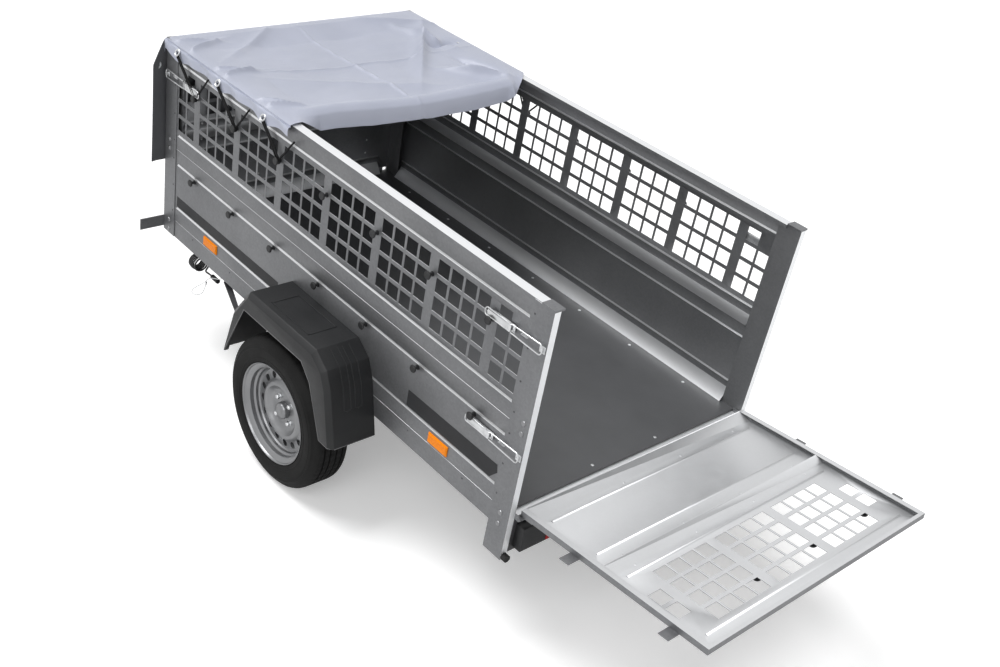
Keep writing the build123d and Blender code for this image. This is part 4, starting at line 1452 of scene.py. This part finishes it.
@dataclass
class Fasteners:
    """Carriage bolts, rivets and screws, as low domes, each size a radius and a rise."""

    workshop: Workshop
    gate: Gate
    side: float = 0.555
    sill: float = 0.552
    bolt: Pair = (0.0088, 0.0042)
    rivet: Pair = (0.0034, 0.0014)
    floor_rivet: Pair = (0.0058, 0.0014)
    screw: Pair = (0.0042, 0.0020)
    gate_screw: Pair = (0.0040, 0.0018)
    columns: tuple[float, ...] = (-0.404, -0.135, 0.135, 0.404)
    dome_shares: tuple[Pair, ...] = ((1.0, 0.0), (0.88, 0.6), (0.5, 0.93), (0.0, 1.0))

    def build(self) -> None:
        """Make the fasteners of the posts, the sills, the floor, the front board and the gate."""
        self.posts()
        self.dots()
        self.floor()
        self.boards()

    def dome(self, form: Form, where: Point, along: Point, radius: float, rise: float) -> None:
        """Add one domed head.

        Args:
            form: The form that takes it.
            where: The middle of its foot.
            along: The direction that it stands out in.
            radius: Its radius.
            rise: Its height.
        """
        section = [(radius * out, rise * up) for out, up in self.dome_shares]
        form.lathe(section, where, along, 10)

    def posts(self) -> None:
        """Add the carriage bolts that hold the posts."""
        form = Form()
        for x, heights in ((0.024, (0.333, 0.296)), (0.038, (-0.004, -0.045)), (2.022, (0.334, 0.297)),
                           (2.014, (-0.004, -0.045))):
            for height in heights:
                self.dome(form, (x, self.side, height), (0, 1, 0), *self.bolt)
        form.mirror_y()
        self.workshop.piece("post_bolts", form, Paint.RIM_SILVER)

    def dots(self) -> None:
        """Add the dark rivets of the posts' leaves and the sills."""
        form = Form()
        for x in (0.068, 1.988):
            for height in (0.050, 0.160, 0.270, 0.345, 0.450, 0.560, 0.670):
                self.dome(form, (x, self.side, height), (0, 1, 0), *self.rivet)
        for bar in range(-3, 4):
            self.dome(form, (bar_x(bar), self.sill, -0.006), (0, 1, 0), *self.rivet)
        form.mirror_y()
        self.workshop.piece("dark_rivets", form, Paint.DARK_STEEL)

    def floor(self) -> None:
        """Add the floor's rivets over the cross members and along its edges."""
        form = Form()
        for x in (0.056, 0.749, 1.348, 1.985):
            for y in (-0.148, 0.148):
                self.dome(form, (x, y, 0.0), (0, 0, 1), *self.floor_rivet)
        for step in range(7):
            for y in (-0.488, 0.488):
                self.dome(form, (0.230 + step * 0.265, y, 0.0), (0, 0, 1), *self.floor_rivet)
        self.workshop.piece("floor_rivets", form, Paint.ZINC_WIRE)

    def boards(self) -> None:
        """Add the screws inside the front board and on the gate's outer face."""
        form = Form()
        for y in self.columns:
            for height in (0.100, 0.160, 0.295, 0.360, 0.640):
                self.dome(form, (2.0495, y, height), (-1, 0, 0), *self.screw)
        self.workshop.piece("board_screws", form, Paint.ZINC_WIRE)
        form = Form()
        for y in self.columns:
            for height in (0.050, 0.295, 0.345, 0.685):
                self.dome(form, (-0.0055, y, height), (1, 0, 0), *self.gate_screw)
        self.workshop.piece("gate_screws", form.turned(self.gate.laid()), Paint.ZINC_WIRE, Body.TAILGATE)


@dataclass
class Jockey:
    """Jockey wheel with a hub, a plain web and a rounded tread."""

    workshop: Workshop
    centre: Point = (2.616, -0.072, -0.381)
    crown: float = 0.0999
    steps: int = 56
    half_section: tuple[Pair, ...] = ((0.0084, 0.0240), (0.0200, 0.0240), (0.0220, 0.0150),
                                      (0.0620, 0.0130), (0.0660, 0.0200), (0.0740, 0.0235),
                                      (0.0880, 0.0248), (0.0945, 0.0215), (0.0990, 0.0120))

    def build(self) -> None:
        """Make the rolling wheel."""
        form = Form()
        first = [(radius, -far) for radius, far in self.half_section]
        section = first + [(self.crown, 0.0)] + list(reversed(self.half_section))
        form.lathe(section, self.centre, (0, 1, 0), self.steps, closed=True)
        self.workshop.piece("jockey_wheel_round", form, Paint.RUBBER, Body.JOCKEY_WHEEL, ("jockey_wheel",))


@dataclass
class Cover:
    """Folded cloth over the front part of the box, with drops, a flap, eyelets and elastic.

    A crease is a row of its middle's x and y, its direction in radians, its width, its height,
    negative for a valley, and its reach. A crumple is a row of its height, its fineness along x
    and y and the layer of noise that it reads. A wave is a row of its height, its fineness along
    the edge and downwards, and how far down it has grown to that height.
    """

    workshop: Workshop
    rear: float = 1.243
    front: float = 2.0590
    half: float = 0.5605
    top: float = 0.7190
    drop: float = 0.060
    flap: float = 0.478
    roll: float = 0.012
    step: float = 0.005
    spread: float = 0.046
    eyelets: tuple[Pair, ...] = ((1.387, 0.684), (1.675, 0.691), (1.952, 0.697))
    flap_eyelets: Pair = (0.105, 0.365)
    elastic_radius: float = 0.0034
    near: float = 0.002
    rail: float = 0.046
    ease: float = 0.10
    sag: float = 0.030
    ridge_fade: float = 0.02
    valley_fade: float = 0.10
    front_fade: float = 0.05
    hem: Point = (0.0150, 0.078, 0.026)
    tuck: Pair = (0.050, 0.062)
    gather: Pair = (0.6, 0.045)
    pucker: float = 0.05
    stand_off: float = 0.006
    side_lift: float = 0.020
    side_wave: tuple[float, ...] = (0.0050, 41.0, 22.0, 0.03)
    flap_out: float = 0.012
    flap_slant: float = 0.012
    flap_wave: tuple[float, ...] = (0.010, 17.0, 3.0, 0.12)
    crumples: tuple[tuple[float, ...], ...] = ((0.0070, 6.0, 6.0, 0.3), (0.0022, 19.0, 15.0, 2.3))
    relief: float = 1.35
    creases: tuple[tuple[float, ...], ...] = (
        (1.64, 0.00, 0.06, 0.0060, 0.0040, 0.45), (1.66, -0.02, 1.52, 0.0060, 0.0040, 0.55),
        (1.66, -0.31, -0.665, 0.024, 0.0300, 0.22), (1.70, -0.47, 1.45, 0.020, -0.0220, 0.09),
        (1.78, -0.42, 0.30, 0.022, 0.0200, 0.12), (1.93, 0.28, 2.20, 0.018, 0.0120, 0.20),
        (1.95, -0.40, 1.10, 0.022, 0.0160, 0.16), (1.42, -0.38, 0.85, 0.018, 0.0260, 0.10),
        (1.47, -0.44, 0.35, 0.014, -0.0160, 0.09), (1.50, 0.10, 1.20, 0.030, 0.0080, 0.30),
        (1.387, 0.50, 1.35, 0.010, 0.0120, 0.09), (1.42, 0.50, 0.95, 0.008, 0.0080, 0.08),
        (1.675, 0.49, 1.75, 0.010, 0.0130, 0.10), (1.71, 0.50, 1.20, 0.009, 0.0090, 0.09),
        (1.93, 0.48, 2.00, 0.012, 0.0130, 0.11), (1.985, 0.48, 1.30, 0.010, 0.0090, 0.09))

    def build(self) -> None:
        """Make the cloth, a near-black copy of the flap's inner side as painted shade, its eyelets and the
        elastic that ties it down.
        """
        cloth = self.workshop.piece("cover_cloth", self.cloth(), Paint.COVER_FABRIC, stands_for=("cover",))
        cloth.data.shade_smooth()
        flap_shade = self.workshop.piece("cover_flap_shade", self.cloth(flap_shade=True), Paint.FLAP_SHADE)
        rings = self.workshop.piece("cover_eyelets", self.rings(), Paint.ZINC_WIRE)
        self.workshop.piece("cover_elastic", self.elastic(), Paint.ELASTIC)

    def cloth(self, flap_shade: bool = False) -> Form:
        """Return the cloth: a grid bent over the edges, then folded, creased and puckered.

        Args:
            flap_shade: Whether to return only the near-black copy of the flap's inner side, painted shade
                where the flap faces the box.

        Returns:
            Its form.
        """
        form = Form()
        along = [i * self.step for i in range(int((self.front - self.rear + self.flap) / self.step) + 1)]
        count = int((self.half + self.drop) / self.step)
        across = [i * self.step for i in range(-count, count + 1)]
        grid = {}
        limit = self.front - self.rear
        for i, u in enumerate(along):
            for j, v in enumerate(across):
                if u - limit > self.step and abs(v) - self.half > self.step:
                    continue
                if flap_shade and u - limit < self.step:
                    continue
                grid[i, j] = form.mesh.verts.new(self.bent(u, v))
        for i, j in list(grid):
            corners = [grid.get(key) for key in ((i, j), (i + 1, j), (i + 1, j + 1), (i, j + 1))]
            if all(corners):
                form.mesh.faces.new(corners)
        for vert in form.mesh.verts:
            vert.co += self.folds(vert.co)
            # Painted shade: the near-black copy sits just behind the flap, on its inner side.
            if flap_shade:
                vert.co.x -= 0.0016
        return form

    def bent(self, u: float, v: float) -> Vector:
        """Return where a point of the flat cloth lies once it is bent over the edges.

        Args:
            u: Its distance from the rear edge.
            v: Its distance from the middle, to the left.

        Returns:
            Its place in the frame of the load box.
        """
        limit = self.front - self.rear
        down_front, down_side = max(0.0, u - limit), max(0.0, abs(v) - self.half)
        x = self.rear + self.pulled(v) * (1.0 - min(u, limit) / limit) + min(u, limit)
        y = math.copysign(min(abs(v), self.half), v)
        y += y / self.half * self.spread * min(1.0, down_front / 0.10)
        z = self.top - max(down_front, down_side)
        for gap in (limit - u, self.half - abs(v)):
            if abs(gap) < self.roll * 2:
                z -= self.roll * 0.35 * (1 - abs(gap) / (self.roll * 2)) ** 2
        return Vector((x, y, z))

    def pulled(self, v: float) -> float:
        """Return how far the rear edge is pulled forward at a place across the cloth."""
        return 0.012 * math.sin(v * 5.0 + 0.4) + 0.15 * max(0.0, -v - 0.44) / 0.16

    def folds(self, spot: Vector) -> Vector:
        """Fold the cloth at a point.

        Args:
            spot: The point.

        Returns:
            How far the folds move it.
        """
        x, y, hang = spot.x, spot.y, self.top - spot.z
        if spot.z > self.top - self.roll:
            return self.top_folds(x, y)
        if abs(y) > self.half - self.near and x < self.front - self.near:
            return self.side_folds(x, y, hang)
        return self.flap_folds(y, hang)

    def crease(self, x: float, y: float) -> float:
        """Add up the creases at a place on the top.

        Args:
            x: How far forward it is.
            y: How far to the left it is.

        Returns:
            How far they raise the cloth there.
        """
        total = 0.0
        for px, py, angle, width, height, reach in self.creases:
            far = -(x - px) * math.sin(angle) + (y - py) * math.cos(angle)
            along = (x - px) * math.cos(angle) + (y - py) * math.sin(angle)
            ridge = self.relief * height * math.exp(-abs(far / width) ** 1.3)
            total += ridge * math.exp(-(along / reach) ** 2)
        near_side = clamped((self.half - abs(y)) / (self.ridge_fade if total > 0.0 else self.valley_fade))
        return total * near_side * clamped((self.front - x) / self.front_fade)

    def top_folds(self, x: float, y: float) -> Vector:
        """Fold the cloth's top: it sags, is creased and crumpled, and its rear edge is rolled.

        Args:
            x: How far forward the place is.
            y: How far to the left it is.

        Returns:
            How far the folds move it.
        """
        inside = clamped((self.half - abs(y) - self.rail) / self.ease)
        inside *= clamped((self.front - x - self.rail) / self.ease)
        sag = -self.sag * inside * math.cos(math.pi * y / (2 * self.half))
        rough = inside * sum(height * noises.noise(Vector((x * along, y * across, layer)))
                             for height, along, across, layer in self.crumples)
        back = x - self.rear - self.pulled(y)
        height, place, width = self.hem
        depth, reach = self.tuck
        droop = inside * (height * math.exp(-((back - place) / width) ** 2)
                          - depth * max(0.0, 1.0 - back / reach) ** 2)
        share, start = self.gather
        return Vector((inside * share * max(0.0, start - back), 0.0, sag + self.crease(x, y) + rough + droop))

    def side_folds(self, x: float, y: float, hang: float) -> Vector:
        """Fold a side drop: it waves between the eyelets and is held at each of them.

        Args:
            x: How far forward the place is.
            y: How far to the left it is.
            hang: How far it hangs under the top.

        Returns:
            How far the folds move it.
        """
        gap = min(abs(x - place) for place, _ in self.eyelets)
        pucker = math.exp(-(gap / self.pucker) ** 2)
        height, along, down, start = self.side_wave
        wave = height * math.sin(x * along + hang * down) * min(1.0, hang / start)
        out = math.copysign(self.stand_off + wave * (1.0 - 0.8 * pucker), y) * min(1.0, hang / 0.02)
        return Vector((0.0, out, self.side_lift * (1.0 - pucker) * hang / self.drop))

    def flap_folds(self, y: float, hang: float) -> Vector:
        """Fold the front flap: it waves, and its lower edge isn't level.

        Args:
            y: How far to the left the place is.
            hang: How far it hangs under the top.

        Returns:
            How far the folds move it.
        """
        height, across, down, start = self.flap_wave
        ahead = (self.flap_out + height * math.sin(y * across + hang * down)) * min(1.0, hang / start)
        return Vector((ahead, 0.0, self.flap_slant * math.sin(y * 6.0 + 1.0) * hang / self.flap))

    def rings(self) -> Form:
        """Make the eyelets of both side drops and of the flap.

        Returns:
            Their form.
        """
        form = Form()
        profile = [(0.0145, -0.0010), (0.0145, 0.0012), (0.0110, 0.0028), (0.0075, 0.0012), (0.0075, -0.0010)]
        for x, height in self.eyelets:
            form.lathe(profile, (x, self.half + 0.0110, height), (0, 0.86, 0.51), 20, closed=True)
        form.mirror_y()
        for hang in self.flap_eyelets:
            for side in SIDES:
                spot = self.bent(self.front - self.rear + hang, side * (self.half - 0.018))
                form.lathe(profile, spot + self.folds(spot), (1, 0, 0), 20, closed=True)
        return form

    def elastic(self) -> Form:
        """Tie the elastic from the eyelets round the upper knobs.

        Returns:
            Its form.
        """
        form = Form()
        knobs = [bar_x(bar) for bar in (1, 2, 3)]
        height, y = 0.567, 0.5605
        out = self.half + 0.0125
        for (x, top), knob in zip(self.eyelets, knobs):
            hook = []
            for i in range(9):
                turn = math.pi * i / 8
                hook.append((knob + 0.0085 * math.cos(turn), y, height - 0.0085 * math.sin(turn)))
            first = [(x - 0.001, out - 0.004, top), (x, out, top - 0.012),
                     ((x + knob) / 2 + 0.010, y + 0.005, 0.628)]
            second = [((x + knob) / 2 - 0.006, y + 0.005, 0.624), (x - 0.010, out, top - 0.010),
                      (x - 0.004, out - 0.004, top)]
            edge = (knob - 0.088, y + 0.004, 0.672)
            stay = [(knob - 0.006, y, height + 0.008), ((knob + edge[0]) / 2, y + 0.003, 0.618), edge]
            for line in (first + hook + second, stay):
                form.run(line, self.elastic_radius, 8)
        form.mirror_y()
        return form


def main() -> None:
    """Build the looks of the whole trailer and report each piece."""
    logging.basicConfig(level=logging.INFO)
    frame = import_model()
    bpy.context.scene.view_settings.view_transform = "Standard"
    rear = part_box("post_rear_left")[0].x
    place = Place(rear_x=rear, floor_z=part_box("floor_panel")[1].z)
    Studio(place).build()
    slots = {part["node"]: part["material_slot"] for part in frame["record"]["subparts"]}
    wardrobe = Wardrobe()
    Frame(frame["nodes"], slots, wardrobe).dress()
    workshop = Workshop(place, wardrobe, frame["nodes"])
    gate = Gate()
    Cords(workshop).build()
    Sheets(workshop).build()
    Lamps(workshop).build()
    # Painted shade: the lamp panel under the floor's rear edge is dressed near-black for the shadow it sits
    # in.
    wardrobe.dress(frame["nodes"]["lamp_panel"], Paint.DARK_STEEL)
    wardrobe.dress(frame["nodes"]["post_caps"], Paint.GALVANISED)
    for side in SIDES:
        Wheel(workshop, side).build()
    Mudguards(workshop).build()
    Cover(workshop).build()
    Knobs(workshop, gate).build()
    Latches(workshop).build()
    Bands(workshop).build()
    Fasteners(workshop, gate).build()
    Jockey(workshop).build()
    workshop.softened("coupling", 0.0025, Paint.by_slot()[slots["coupling"]], segments=2)


if __name__ == "__main__":
    main()
